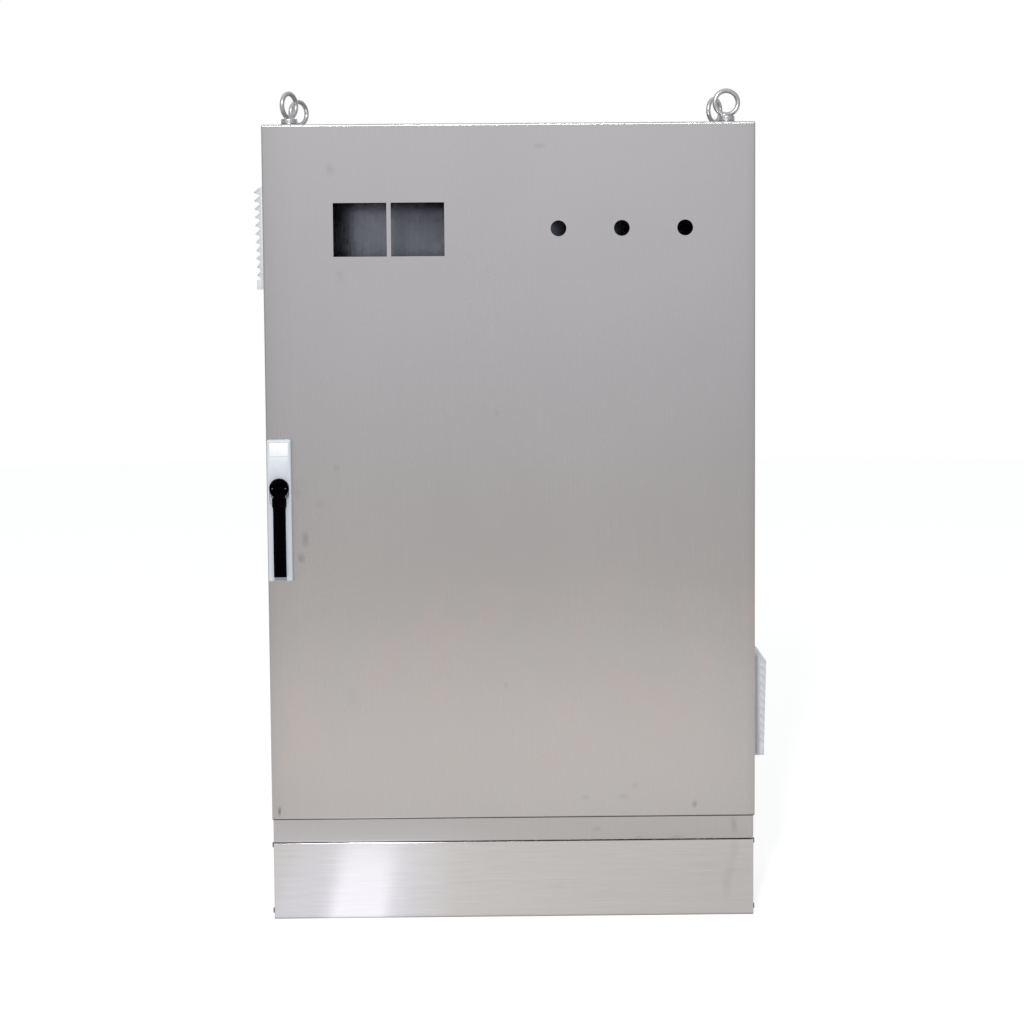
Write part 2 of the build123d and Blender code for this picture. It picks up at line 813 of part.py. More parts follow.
with BuildPart() as handle_housing:
    with BuildSketch(facing_front(door_front, handle_x, handle_top - handle_length / 2)):
        RectangleRounded(handle_width, handle_length, handle_corner)
    extrude(amount=handle_depth)
    chamfer(handle_housing.faces().sort_by(Axis.Y)[0].edges(), handle_chamfer)
    # Oval recess behind the hub
    with BuildSketch(facing_front(handle_front, handle_x, recess_middle)):
        SlotCenterToCenter(hub_recess_reach, hub_diameter + 3 * hole_clearance, rotation=90)
    extrude(amount=-hub_recess_depth, mode=Mode.SUBTRACT)
    # Finger groove under the lever and grip notch at its end
    block(
        (handle_x - finger_groove_width / 2, handle_x + finger_groove_width / 2),
        (handle_front - overcut, handle_front + finger_groove_depth),
        (lever_end, recess_middle),
        mode=Mode.SUBTRACT,
    )
    block(
        (handle_x - grip_notch_width / 2, handle_x + grip_notch_width / 2),
        (handle_front - overcut, handle_front + grip_notch_depth),
        (handle_bottom - overcut, lever_end + handle_corner),
        mode=Mode.SUBTRACT,
    )
    # Seat of the window, and the bores of the hub and the two screws
    with BuildSketch(facing_front(handle_front, handle_x, window_z)):
        Rectangle(window_width, window_height)
    extrude(amount=-window_depth, mode=Mode.SUBTRACT)
    bar(
        (handle_x, handle_front, hub_z),
        (handle_x, door_front + overcut, hub_z),
        hub_boss + 2 * running_fit,
        Mode.SUBTRACT,
    )
    for z in handle_screw_heights:
        bite = door_front - handle_screw_bite
        bar((handle_x, bite, z), (handle_x, door_front + overcut, z), small_stud, Mode.SUBTRACT)

with BuildPart() as handle_window:
    with BuildSketch(facing_front(handle_front + window_depth, handle_x, window_z)):
        Rectangle(window_width - 2 * window_clearance, window_height - 2 * window_clearance)
    extrude(amount=window_depth + window_stand)
    block(
        (handle_x - window_groove / 2, handle_x + window_groove / 2),
        (handle_front - overcut, handle_front + window_stand),
        (window_z - window_height, window_z + window_height),
        mode=Mode.SUBTRACT,
    )

with BuildPart() as handle_screws:
    for z in handle_screw_heights:
        bar((handle_x, door_front - handle_screw_bite, z), (handle_x, door_inner, z), small_stud)
        head_rear = door_inner + handle_screw_head_height
        bar((handle_x, door_inner, z), (handle_x, head_rear, z), small_nut)

hub_rear = recess_floor - hub_clearance
slot_floor = pin_y + lever_head_radius + hole_clearance
case_rear = door_inner + lock_case_depth
spindle_end = case_rear - lock_case_wall - 2 * hub_clearance

with BuildPart() as handle_hub:
    bar((handle_x, hub_rear, hub_z), (handle_x, hub_face, hub_z), hub_diameter)
    # Slot for the head of the lever, open downwards and to the front
    slot_half = lever_head_width / 2 + guide_clearance
    block(
        (handle_x - slot_half, handle_x + slot_half),
        (hub_face - overcut, slot_floor),
        (hub_z - hub_diameter, hub_z + lever_head_radius + hole_clearance),
        mode=Mode.SUBTRACT,
    )
    bar((handle_x, hub_rear, hub_z), (handle_x, door_inner - hub_clearance, hub_z), hub_boss)
    with BuildSketch(facing_front(door_inner - hub_clearance, handle_x, hub_z)):
        Rectangle(spindle_side, spindle_side)
    extrude(amount=-(spindle_end - door_inner + hub_clearance))
    # Open seats of the lever pin
    for side in (-1, 1):
        inner = handle_x + side * (slot_half - overcut)
        outer = handle_x + side * lever_pin_length / 2
        block(
            sorted((inner, outer)),
            (hub_face - overcut, pin_y),
            (hub_z - lever_pin / 2, hub_z + lever_pin / 2),
            mode=Mode.SUBTRACT,
        )
    bar(
        (handle_x - lever_pin_length / 2, pin_y, hub_z),
        (handle_x + lever_pin_length / 2, pin_y, hub_z),
        lever_pin,
        Mode.SUBTRACT,
    )

with BuildPart() as lever_pin_bar:
    half_pin = lever_pin_length / 2 - running_fit
    bar((handle_x - half_pin, pin_y, hub_z), (handle_x + half_pin, pin_y, hub_z), lever_pin - 2 * running_fit)

with BuildPart() as lever:
    head_half = lever_head_width / 2
    bar((handle_x - head_half, pin_y, hub_z), (handle_x + head_half, pin_y, hub_z), 2 * lever_head_radius)
    neck_start = hub_z - hub_diameter / 2 - hole_clearance
    block((handle_x - head_half, handle_x + head_half), (lever_face, lever_rear), (neck_start, hub_z))
    block(
        (handle_x - lever_neck_width / 2, handle_x + lever_neck_width / 2),
        (lever_face, lever_rear),
        (neck_end, neck_start),
    )
    block(
        (handle_x - lever_width / 2, handle_x + lever_width / 2),
        (lever_face, lever_rear),
        (lever_end, neck_end),
    )
    fillet(lever.faces().sort_by(Axis.Z)[0].edges(), lever_tip_fillet)
    bar(
        (handle_x - head_half - overcut, pin_y, hub_z),
        (handle_x + head_half + overcut, pin_y, hub_z),
        lever_pin + 2 * running_fit,
        Mode.SUBTRACT,
    )

# Rod lock: pinion on the spindle, two toothed rods, case and guides


def involute(angle):
    """The involute function of a pressure angle."""
    return tan(angle) - angle


def gear_outline():
    """Points round the pinion, one tooth pointing along local X."""
    base = pitch_radius * cos(gear_pressure)
    tip = pitch_radius + gear_addendum * gear_module
    root = pitch_radius - gear_addendum * gear_module - gear_root_gap
    half_pitch = pi / (2 * gear_teeth) - gear_backlash / (2 * pitch_radius)
    radii = [base + (tip - base) * step / 4 for step in range(5)]
    flank = [
        (radius, half_pitch + involute(gear_pressure) - involute(acos(base / radius))) for radius in radii
    ]
    half_tooth = [(root, flank[0][1]), *flank]
    points = []
    for tooth in range(gear_teeth):
        middle = 2 * pi * tooth / gear_teeth
        points += [(r * cos(middle - a), r * sin(middle - a)) for r, a in half_tooth]
        points += [(r * cos(middle + a), r * sin(middle + a)) for r, a in reversed(half_tooth)]
    return points


def toothed_rod(side, far_end):
    """A flat rod whose offset leg carries rack teeth; side is where the leg passes the pinion."""
    up = 1 if far_end > hub_z else -1
    pitch = pi * gear_module
    addendum = gear_addendum * gear_module
    slope = tan(gear_pressure)
    tip_half = pitch / 4 - gear_backlash / 2 - addendum * slope
    root_half = pitch / 4 - gear_backlash / 2 + (addendum + gear_root_gap) * slope
    teeth_z = [(count - rack_lead + 0.5) * pitch * up for count in range(rack_teeth)]
    leg_start = -(abs(teeth_z[0]) + pitch / 2) * up
    with BuildPart() as rod:
        with BuildSketch(facing_front(rod_y, handle_x, hub_z)):
            with BuildLine():
                Polyline(
                    (side * rack_root, leg_start),
                    (side * rack_outer, leg_start),
                    (side * rack_outer, rod_jog * up),
                    (side * rack_root, rod_jog * up),
                    close=True,
                )
            make_face()
            for z in teeth_z:
                with BuildLine():
                    Polyline(
                        (side * (rack_root + gear_root_gap), z - root_half),
                        (side * rack_root, z - root_half),
                        (side * rack_tip, z - tip_half),
                        (side * rack_tip, z + tip_half),
                        (side * rack_root, z + root_half),
                        (side * (rack_root + gear_root_gap), z + root_half),
                        close=True,
                    )
                make_face()
            length = abs(far_end - hub_z) - rod_jog
            with Locations((0, up * (rod_jog + length / 2))):
                Rectangle(rod_width, length)
            jog_width = rack_outer + rod_width / 2
            with Locations((side * (rack_outer - jog_width / 2), up * (rod_jog + rod_width / 2))):
                Rectangle(jog_width, rod_width)
        extrude(amount=rod_sheet / 2, both=True)
    return rod


with BuildPart() as pinion:
    with BuildSketch(facing_front(rod_y + gear_thickness / 2, handle_x, hub_z)):
        with BuildLine():
            Polyline(*gear_outline(), close=True)
        make_face()
    extrude(amount=gear_thickness)
    boss_front = door_inner + lock_case_wall + guide_clearance
    boss_rear = case_rear - lock_case_wall - guide_clearance
    bar((handle_x, boss_front, hub_z), (handle_x, boss_rear, hub_z), gear_boss)
    with BuildSketch(facing_front(boss_rear + overcut, handle_x, hub_z)):
        Rectangle(spindle_side + 2 * running_fit, spindle_side + 2 * running_fit)
    extrude(amount=lock_case_depth, mode=Mode.SUBTRACT)

upper_rod = toothed_rod(-1, upper_rod_end)
lower_rod = toothed_rod(1, lower_rod_end)

with BuildPart() as lock_case:
    cavity_half = rack_outer + gear_root_gap
    case_half = cavity_half + lock_case_side_wall
    case_z = (hub_z - lock_case_half_height, hub_z + lock_case_half_height)
    block((handle_x - case_half, handle_x + case_half), (door_inner, case_rear), case_z)
    block(
        (handle_x - cavity_half, handle_x + cavity_half),
        (door_inner + lock_case_wall, case_rear - lock_case_wall),
        (case_z[0] + lock_case_side_wall, case_z[1] - lock_case_side_wall),
        mode=Mode.SUBTRACT,
    )
    # Slots where the two rods leave, upwards on one side and downwards on the other
    slot_y = (rod_y - rod_sheet / 2 - guide_clearance, rod_y + rod_sheet / 2 + guide_clearance)
    for side, end in ((-1, case_z[1]), (1, case_z[0])):
        block(
            sorted((handle_x + side * (rack_root - guide_clearance), handle_x + side * cavity_half)),
            slot_y,
            (end - lock_case_wall, end + lock_case_wall),
            mode=Mode.SUBTRACT,
        )
    bar(
        (handle_x, door_inner - overcut, hub_z),
        (handle_x, door_inner + lock_case_wall + overcut, hub_z),
        hub_boss + 2 * hole_clearance,
        Mode.SUBTRACT,
    )

guide_heights = (
    door_bottom + guide_end_inset,
    hub_z - guide_below_hub,
    hub_z + guide_above_hub,
    door_top - guide_end_inset,
)

with BuildPart() as rod_guides:
    for z in guide_heights:
        guide_z = (z - guide_height / 2, z + guide_height / 2)
        block(
            (handle_x - guide_width / 2, handle_x + guide_width / 2),
            (door_inner, door_inner + guide_depth),
            guide_z,
        )
        block(
            (handle_x - rod_width / 2 - guide_clearance, handle_x + rod_width / 2 + guide_clearance),
            slot_y,
            (guide_z[0] - overcut, guide_z[1] + overcut),
            mode=Mode.SUBTRACT,
        )

with BuildPart() as latch_keepers:
    lip_rear = door_inner + keeper_lip_gap + keeper_sheet
    for end, up in ((upper_rod_end, 1), (lower_rod_end, -1)):
        near = end + up * keeper_gap
        far = near + up * keeper_length
        span_x = (handle_x - keeper_width / 2, handle_x + keeper_width / 2)
        block(span_x, (lip_rear - keeper_sheet, body_front), sorted((near, far)))
        block(
            (span_x[0] - overcut, span_x[1] + overcut),
            (lip_rear, body_front - keeper_sheet),
            sorted((near - up, far - up * keeper_sheet)),
            mode=Mode.SUBTRACT,
        )

# Filter units on the side walls


def filter_frame(side, centre_z, outset, screw_holes):
    """A moulded frame: outer flange, snout through the wall, inner bars and two hinge ears."""
    flange = filter_flange + outset
    with BuildPart() as frame:
        with BuildSketch(facing_side(side, 0, centre_z)):
            Rectangle(cover_side, cover_side)
        extrude(amount=flange)
        with BuildSketch(facing_side(side, 0, centre_z)):
            Rectangle(snout_side, snout_side)
        extrude(amount=-snout_depth)
        with BuildSketch(facing_side(side, flange, centre_z)):
            Rectangle(snout_inner, snout_inner)
        extrude(amount=-(flange + snout_depth), mode=Mode.SUBTRACT)
        # Bars that hold the mat, and corner pads
        bar_pitch = snout_inner / (filter_bar_count + 1)
        pad_side = 2 * (snout_inner / 2 - fan_hole_spacing / 2)
        with BuildSketch(facing_side(side, -snout_depth, centre_z)):
            with GridLocations(0, bar_pitch, 1, filter_bar_count):
                Rectangle(snout_inner + snout_wall, filter_bar)
            with GridLocations(fan_hole_spacing, fan_hole_spacing, 2, 2):
                Rectangle(pad_side + snout_wall, pad_side + snout_wall)
                if screw_holes:
                    Circle(fan_screw / 2 + running_fit, mode=Mode.SUBTRACT)
        extrude(amount=filter_bar_depth)
        # Ears for the two cover pins
        for step in (-0.5, 0.5):
            y = step * cover_ear_spacing
            with BuildSketch(side_profile(side, centre_z, y, outset)):
                with Locations((cover_axis_out, -cover_axis_drop)):
                    Circle(cover_axis_inset)
                with Locations(((cover_axis_out + filter_flange) / 2, -cover_axis_drop)):
                    Rectangle(cover_axis_out - filter_flange, 2 * cover_axis_inset)
                with Locations((cover_axis_out, -cover_axis_drop)):
                    Circle(cover_pin / 2 + running_fit, mode=Mode.SUBTRACT)
            extrude(amount=cover_ear_width / 2, both=True)
    return frame


def filter_mat(side, centre_z):
    """The filter mat, resting on the inner bars of its frame."""
    with BuildPart() as mat:
        with BuildSketch(facing_side(side, -snout_depth + filter_bar_depth, centre_z)):
            Rectangle(snout_inner - 2 * mat_clearance, snout_inner - 2 * mat_clearance)
        extrude(amount=mat_thickness)
    return mat


def louvred_cover(side, centre_z, outset, hooded):
    """The louvred cover: a rim, sloping slats, a plain block below and cheeks that close its ends.

    The cheeks follow the teeth of the slats, or run straight past them where the cover is hooded.
    """
    slats = []
    for index in range(slat_count):
        tip = cover_half - slat_drop - index * slat_pitch
        share = index / (slat_count - 1)
        reach = cover_reach_top + (cover_reach_bottom - cover_reach_top) * share
        rise = slat_drop / (reach - slat_shoulder)
        slats.append((reach, tip, rise, tip + rise * (reach - slat_root)))
    block_top = cover_block - cover_half
    if hooded:
        outline = [(slat_root, slats[0][3]), slats[0][:2], slats[-1][:2]]
        cheeks = [outline + [(cover_reach_bottom, block_top), (slat_root, block_top)]]
    else:
        cheeks = [
            [
                (slat_root, root),
                (reach, tip),
                (cover_rim_reach, tip - tooth_drop),
                (slat_root, tip - tooth_drop),
            ]
            for reach, tip, rise, root in slats
        ]
    with BuildPart() as cover:
        with BuildSketch(facing_side(side, cover_back + outset, centre_z)):
            Rectangle(cover_side, cover_side)
        extrude(amount=cover_rim_reach - cover_back)
        outer = cover.faces().sort_by(Axis.X)[-1 if side > 0 else 0]
        chamfer(outer.edges(), cover_chamfer)
        with BuildSketch(facing_side(side, cover_back + outset, centre_z)):
            Rectangle(cover_side - 2 * cover_wall, cover_side - 2 * cover_wall)
        extrude(amount=cover_rim_reach, mode=Mode.SUBTRACT)
        with BuildSketch(side_profile(side, centre_z, out=outset)):
            for reach, tip, rise, root in slats:
                with BuildLine():
                    Polyline(
                        (slat_root, root),
                        (reach, tip),
                        (reach - slat_thickness / 2, tip - slat_thickness / 2),
                        (slat_root, root - slat_thickness * hypot(1, rise)),
                        close=True,
                    )
                make_face()
            with Locations((cover_back, -cover_half)):
                Rectangle(cover_reach_bottom - cover_back, cover_block, align=(Align.MIN, Align.MIN))
            with Locations((cover_back, 0)):
                Rectangle(
                    cover_reach_top, cover_side, align=(Align.MIN, Align.CENTER), mode=Mode.INTERSECT
                )
        extrude(amount=cover_half - cover_wall / 2, both=True)
        cheek_y = cover_half - cover_wall - slat_end_relief
        for y in (-cheek_y, cheek_y):
            with BuildSketch(side_profile(side, centre_z, y, outset)):
                for corner_points in cheeks:
                    with BuildLine():
                        Polyline(*corner_points, close=True)
                    make_face()
                with Locations((cover_back, 0)):
                    Rectangle(
                        cover_reach_top, cover_side, align=(Align.MIN, Align.CENTER), mode=Mode.INTERSECT
                    )
            extrude(amount=cover_wall / 2, both=True)
        # Rounded lower back edge, notches and holes for the hinge
        back = cover.edges().filter_by(Axis.Y).group_by(Axis.Z)[0]
        lower_back = back.sort_by(Axis.X)[0 if side > 0 else -1]
        fillet(lower_back, cover_axis_inset - running_fit)
        for step in (-0.5, 0.5):
            y = step * cover_ear_spacing
            reach = cover_ear_width / 2 + cover_gap
            axis_x = side * (half_width + cover_axis_out + outset)
            axis_z = centre_z - cover_axis_drop
            bar(
                (axis_x, y - reach, axis_z),
                (axis_x, y + reach, axis_z),
                2 * cover_notch_radius,
                Mode.SUBTRACT,
            )
            pin_reach = cover_pin_length / 2 + cover_gap
            bar(
                (axis_x, y - pin_reach, axis_z),
                (axis_x, y + pin_reach, axis_z),
                cover_pin + 2 * running_fit,
                Mode.SUBTRACT,
            )
    return cover


def cover_pins(side, centre_z, outset):
    """The two steel pins that a louvred cover tilts on."""
    with BuildPart() as pins:
        for step in (-0.5, 0.5):
            y = step * cover_ear_spacing
            axis_x = side * (half_width + cover_axis_out + outset)
            axis_z = centre_z - cover_axis_drop
            half_pin = cover_pin_length / 2
            bar((axis_x, y - half_pin, axis_z), (axis_x, y + half_pin, axis_z), cover_pin)
    return pins


outlet_frame = filter_frame(-1, outlet_centre_z, 0.0, False)
outlet_mat = filter_mat(-1, outlet_centre_z)
outlet_cover = louvred_cover(-1, outlet_centre_z, 0.0, False)
outlet_hinge_pins = cover_pins(-1, outlet_centre_z, 0.0)
fan_filter_frame = filter_frame(1, fan_centre_z, fan_frame_outset, True)
fan_mat = filter_mat(1, fan_centre_z)
fan_cover = louvred_cover(1, fan_centre_z, fan_frame_outset, True)
fan_hinge_pins = cover_pins(1, fan_centre_z, fan_frame_outset)

# Axial fan inside the lower filter frame

fan_inner_x = half_width + fan_out - fan_depth
motor_front_x = fan_inner_x + fan_motor_depth
fan_axis = (0, fan_centre_z)

with BuildPart() as fan_housing:
    with BuildSketch(facing_side(1, fan_out, fan_centre_z)):
        RectangleRounded(fan_side, fan_side, fan_hole)
        Circle(fan_bore / 2, mode=Mode.SUBTRACT)
        with GridLocations(fan_hole_spacing, fan_hole_spacing, 2, 2):
            Circle(fan_hole / 2, mode=Mode.SUBTRACT)
    extrude(amount=-fan_depth)
    # Motor and its struts at the inner face
    with BuildSketch(facing_side(1, fan_out - fan_depth, fan_centre_z)):
        Rectangle(fan_bore + fan_strut, fan_strut)
        Rectangle(fan_strut, fan_bore + fan_strut)
    extrude(amount=fan_strut / 2)
    bar((fan_inner_x, *fan_axis), (motor_front_x, *fan_axis), fan_motor)
    bar(
        (motor_front_x - fan_shaft_reach, *fan_axis),
        (motor_front_x + overcut, *fan_axis),
        fan_shaft + 2 * running_fit,
        Mode.SUBTRACT,
    )

with BuildPart() as fan_rotor:
    rotor_inner_x = motor_front_x + hub_clearance * 2
    rotor_outer_x = half_width + fan_out - fan_rotor_gap
    blade_x = (rotor_inner_x + rotor_outer_x) / 2
    bar((rotor_inner_x, *fan_axis), (rotor_outer_x, *fan_axis), fan_motor)
    bar((rotor_inner_x, *fan_axis), (rotor_inner_x - fan_shaft_reach, *fan_axis), fan_shaft)
    blade_length = fan_bore / 2 - fan_tip_gap - fan_blade_root
    blade_middle = fan_blade_root + blade_length / 2
    for index in range(fan_blades):
        turn = 2 * pi * index / fan_blades
        out = (0, cos(turn), sin(turn))
        middle = (blade_x, blade_middle * out[1], fan_centre_z + blade_middle * out[2])
        with Locations(Plane(origin=middle, x_dir=out, z_dir=(1, 0, 0))):
            Box(blade_length, fan_blade_chord, fan_blade_sheet, rotation=(fan_blade_pitch, 0, 0))

with BuildPart() as fan_guard:
    with BuildSketch(facing_side(1, fan_out - fan_depth, fan_centre_z)):
        for ring in range(guard_ring_count, 0, -1):
            radius = ring * guard_ring_spacing
            Circle(radius + guard_wire / 2)
            Circle(radius - guard_wire / 2, mode=Mode.SUBTRACT)
        for turn in (45, 135):
            Rectangle(fan_hole_spacing * hypot(1, 1), guard_wire, rotation=turn)
        with GridLocations(fan_hole_spacing, fan_hole_spacing, 2, 2):
            Circle(guard_ears / 2)
            Circle(fan_hole / 2, mode=Mode.SUBTRACT)
    extrude(amount=-guard_ear_sheet)

with BuildPart() as fan_screws:
    for sx, sy in corners:
        place = (sx * fan_hole_spacing / 2, fan_centre_z + sy * fan_hole_spacing / 2)
        seat = fan_inner_x - guard_ear_sheet
        bar((seat, *place), (seat - fan_screw_head_height, *place), fan_screw_head)
        bar((seat, *place), (half_width + fan_out + filter_bar_depth - hub_clearance, *place), fan_screw)

# Earth stud on the cabinet floor

with BuildPart() as earth_stud:
    bar(
        (earth_stud_x, earth_stud_y, floor_top),
        (earth_stud_x, earth_stud_y, floor_top + earth_stud_height),
        plate_stud,
    )

with BuildPart() as earth_nut:
    nut_z = floor_top + earth_stud_height / 2
    hex_head(
        (earth_stud_x, earth_stud_y, nut_z),
        (earth_stud_x, earth_stud_y, nut_z + plate_nut_height),
        plate_nut,
        plate_stud + 2 * running_fit,
    )

# Write every piece to its own file

pieces = {
    "body_shell": body_shell,
    "mounting_plate": mounting_plate,
    "plate_studs": plate_studs,
    "plate_nuts": plate_nuts,
    "gland_plate": gland_plate,
    "gland_gasket": gland_gasket,
    "gland_screws": gland_screws,
    "plinth_front": plinth_front,
    "plinth_rear": plinth_rear,
    "plinth_side_left": plinth_side_left,
    "plinth_side_right": plinth_side_right,
    "plinth_screws": plinth_screws,
    "plinth_bolts": plinth_bolts,
    "plinth_nuts": plinth_nuts,
    "eye_bolts": eye_bolts,
    "eye_washers": eye_washers,
    "eye_nuts": eye_nuts,
    "hinge_body_leaves": hinge_body_leaves,
    "hinge_leaf_screws": hinge_leaf_screws,
    "latch_keepers": latch_keepers,
    "outlet_frame": outlet_frame,
    "outlet_mat": outlet_mat,
    "outlet_hinge_pins": outlet_hinge_pins,
    "outlet_cover": outlet_cover,
    "fan_filter_frame": fan_filter_frame,
    "fan_mat": fan_mat,
    "fan_hinge_pins": fan_hinge_pins,
    "fan_cover": fan_cover,
    "fan_housing": fan_housing,
    "fan_rotor": fan_rotor,
    "fan_guard": fan_guard,
    "fan_screws": fan_screws,
    "earth_stud": earth_stud,
    "earth_nut": earth_nut,
    "door_panel": door_panel,
    "door_gasket": door_gasket,
    "door_rails": door_rails,
    "hinge_door_leaves": hinge_door_leaves,
    "hinge_pins": hinge_pins,
    "door_studs": door_studs,
    "door_nuts": door_nuts,
    "handle_housing": handle_housing,
    "handle_window": handle_window,
    "handle_screws": handle_screws,
    "lock_case": lock_case,
    "rod_guides": rod_guides,
    "handle_hub": handle_hub,
    "lever_pin": lever_pin_bar,
    "pinion": pinion,
    "lever": lever,
    "upper_rod": upper_rod,
    "lower_rod": lower_rod,
}

os.makedirs("parts", exist_ok=True)
for label, piece in pieces.items():
    piece.part.label = label
    export_step(piece.part, f"parts/{label}.step")
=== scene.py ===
import json
import math

import bmesh
import bpy
from mathutils import Matrix, Vector, noise


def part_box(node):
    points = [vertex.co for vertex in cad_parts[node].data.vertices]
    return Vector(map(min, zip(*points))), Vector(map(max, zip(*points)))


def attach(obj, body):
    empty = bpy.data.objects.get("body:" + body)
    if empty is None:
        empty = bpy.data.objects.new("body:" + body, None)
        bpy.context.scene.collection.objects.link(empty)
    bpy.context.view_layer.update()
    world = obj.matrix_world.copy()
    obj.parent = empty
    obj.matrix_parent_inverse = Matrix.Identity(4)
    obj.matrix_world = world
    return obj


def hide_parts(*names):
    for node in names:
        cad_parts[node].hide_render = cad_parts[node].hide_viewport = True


# Finishes, soft pieces, stage, lamps and camera for a stainless steel control cabinet.
# Metres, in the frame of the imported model: +Z up, the door faces -Y.

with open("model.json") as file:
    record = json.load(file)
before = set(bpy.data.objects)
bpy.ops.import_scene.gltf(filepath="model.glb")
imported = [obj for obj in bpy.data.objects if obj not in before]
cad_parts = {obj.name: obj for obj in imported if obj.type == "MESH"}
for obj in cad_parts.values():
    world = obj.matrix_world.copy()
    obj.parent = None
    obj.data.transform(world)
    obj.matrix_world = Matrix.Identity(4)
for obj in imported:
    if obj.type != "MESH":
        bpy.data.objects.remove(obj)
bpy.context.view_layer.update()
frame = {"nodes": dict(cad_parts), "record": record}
nodes = frame["nodes"]
record = frame["record"]
slot_of = {row["node"]: row["material_slot"] for row in record["subparts"]}
body_of = {
    node: body for body, members in record["behaviour"]["bodies"].items() for node in members
}
MM = 0.001


# Node materials


def display(red, green, blue):
    """A colour given as 0-255 display values, in linear light."""
    shares = [value / 255 for value in (red, green, blue)]
    return [s / 12.92 if s <= 0.04045 else ((s + 0.055) / 1.055) ** 2.4 for s in shares]


def feed(tree, value, socket):
    """Links the value to the socket where it is an output, or else sets it there."""
    if isinstance(value, bpy.types.NodeSocket):
        tree.links.new(value, socket)
    elif value is not None:
        socket.default_value = value


def add_node(tree, kind, inputs=(), **settings):
    """A shader node with its settings, and with its first inputs fed."""
    made = tree.nodes.new("ShaderNode" + kind)
    for key, value in settings.items():
        setattr(made, key, value)
    for index, value in enumerate(inputs):
        feed(tree, value, made.inputs[index])
    return made


def levels(tree, value, stops):
    """A grey ramp through (place, level) pairs, places from 0 to 1."""
    ramp = add_node(tree, "ValToRGB", (value,))
    elements = ramp.color_ramp.elements
    while len(elements) < len(stops):
        elements.new(0.5)
    for element, (place, level) in zip(elements, stops):
        element.position = place
        element.color = (level, level, level, 1.0)
    return ramp.outputs[0]


class Finish:
    """A node material round one Principled shader, with short helpers that add nodes.

    Place is the surface's point, in metres in the model's frame at rest. Facing is its normal.
    """

    def __init__(self, name, roughness, metallic=0.0, **sockets):
        self.material = bpy.data.materials.new(name)
        self.material.use_nodes = True
        self.tree = self.material.node_tree
        self.shader = self.tree.nodes["Principled BSDF"]
        self.shader.inputs["Roughness"].default_value = roughness
        self.shader.inputs["Metallic"].default_value = metallic
        for socket, value in sockets.items():
            self.shader.inputs[socket.replace("_", " ")].default_value = value
        coordinates = self.node("TexCoord")
        self.place = coordinates.outputs["Object"]
        self.facing = coordinates.outputs["Normal"]

    def node(self, kind, inputs=(), **settings):
        return add_node(self.tree, kind, inputs, **settings)

    def math(self, operation, *values):
        return self.node("Math", values, operation=operation).outputs[0]

    def times(self, first, second):
        return self.math("MULTIPLY", first, second)

    def total(self, base, *parts):
        """The base plus each part, a value and its weight."""
        for value, weight in parts:
            base = self.math("MULTIPLY_ADD", value, weight, base)
        return base

    def vector(self, operation, *values):
        made = self.node("VectorMath", operation=operation)
        slots = [0, 3] if operation == "SCALE" else [0, 1]
        for index, value in zip(slots, values):
            feed(self.tree, value, made.inputs[index])
        return made.outputs["Value" if operation == "LENGTH" else "Vector"]

    def axes(self, vector):
        """The X, Y and Z of a vector."""
        return self.node("SeparateXYZ", (vector,)).outputs

    def texture(self, kind, scale):
        """A texture node with a scale per metre on each axis."""
        made = self.node(kind)
        feed(self.tree, self.vector("MULTIPLY", self.place, scale), made.inputs["Vector"])
        made.inputs["Scale"].default_value = 1.0
        return made

    def noise(self, scale, detail=2.0, roughness=0.5):
        """Noise with a scale per metre on each axis, from 0 to 1."""
        made = self.texture("TexNoise", scale)
        made.inputs["Detail"].default_value = detail
        made.inputs["Roughness"].default_value = roughness
        return made.outputs["Fac"]

    def span(self, value, low, high, to_low=0.0, to_high=1.0, smooth=False):
        """The value rescaled from one range to another, held within it."""
        made = self.node("MapRange", (value, low, high, to_low, to_high))
        if smooth:
            made.interpolation_type = "SMOOTHSTEP"
        return made.outputs[0]

    def mix(self, share, first, second, blend="MIX"):
        """One colour or the other, or the two blended."""
        made = self.node("Mix", data_type="RGBA", blend_type=blend)
        for index, value in zip((0, 6, 7), (share, first, second)):
            if isinstance(value, (list, tuple)):
                value = (*value[:3], 1.0)
            feed(self.tree, value, made.inputs[index])
        return made.outputs[2]

    def either(self, share, first, second):
        """One vector or the other."""
        made = self.node("Mix", data_type="VECTOR")
        for index, value in zip((0, 4, 5), (share, first, second)):
            feed(self.tree, value, made.inputs[index])
        return made.outputs[1]

    def scaled(self, colour, amount):
        """A colour made lighter or darker by a factor."""
        grey = self.node("CombineColor", (amount, amount, amount)).outputs[0]
        return self.mix(1.0, colour, grey, "MULTIPLY")

    def bump(self, height, distance):
        made = self.node("Bump")
        made.inputs["Strength"].default_value = 1.0
        made.inputs["Distance"].default_value = distance
        feed(self.tree, height, made.inputs["Height"])
        return made.outputs["Normal"]

    def set(self, colour, roughness, normal, tangent=None):
        for socket, value in (
            ("Base Color", colour),
            ("Roughness", roughness),
            ("Normal", normal),
            ("Tangent", tangent),
        ):
            feed(self.tree, value, self.shader.inputs[socket])
        return self.material


# How far the noise in a soft spot's outline moves it, and how fine that noise is, per metre
SPOT_DRIFT = 0.006
SPOT_NOISE = (60, 60, 60)


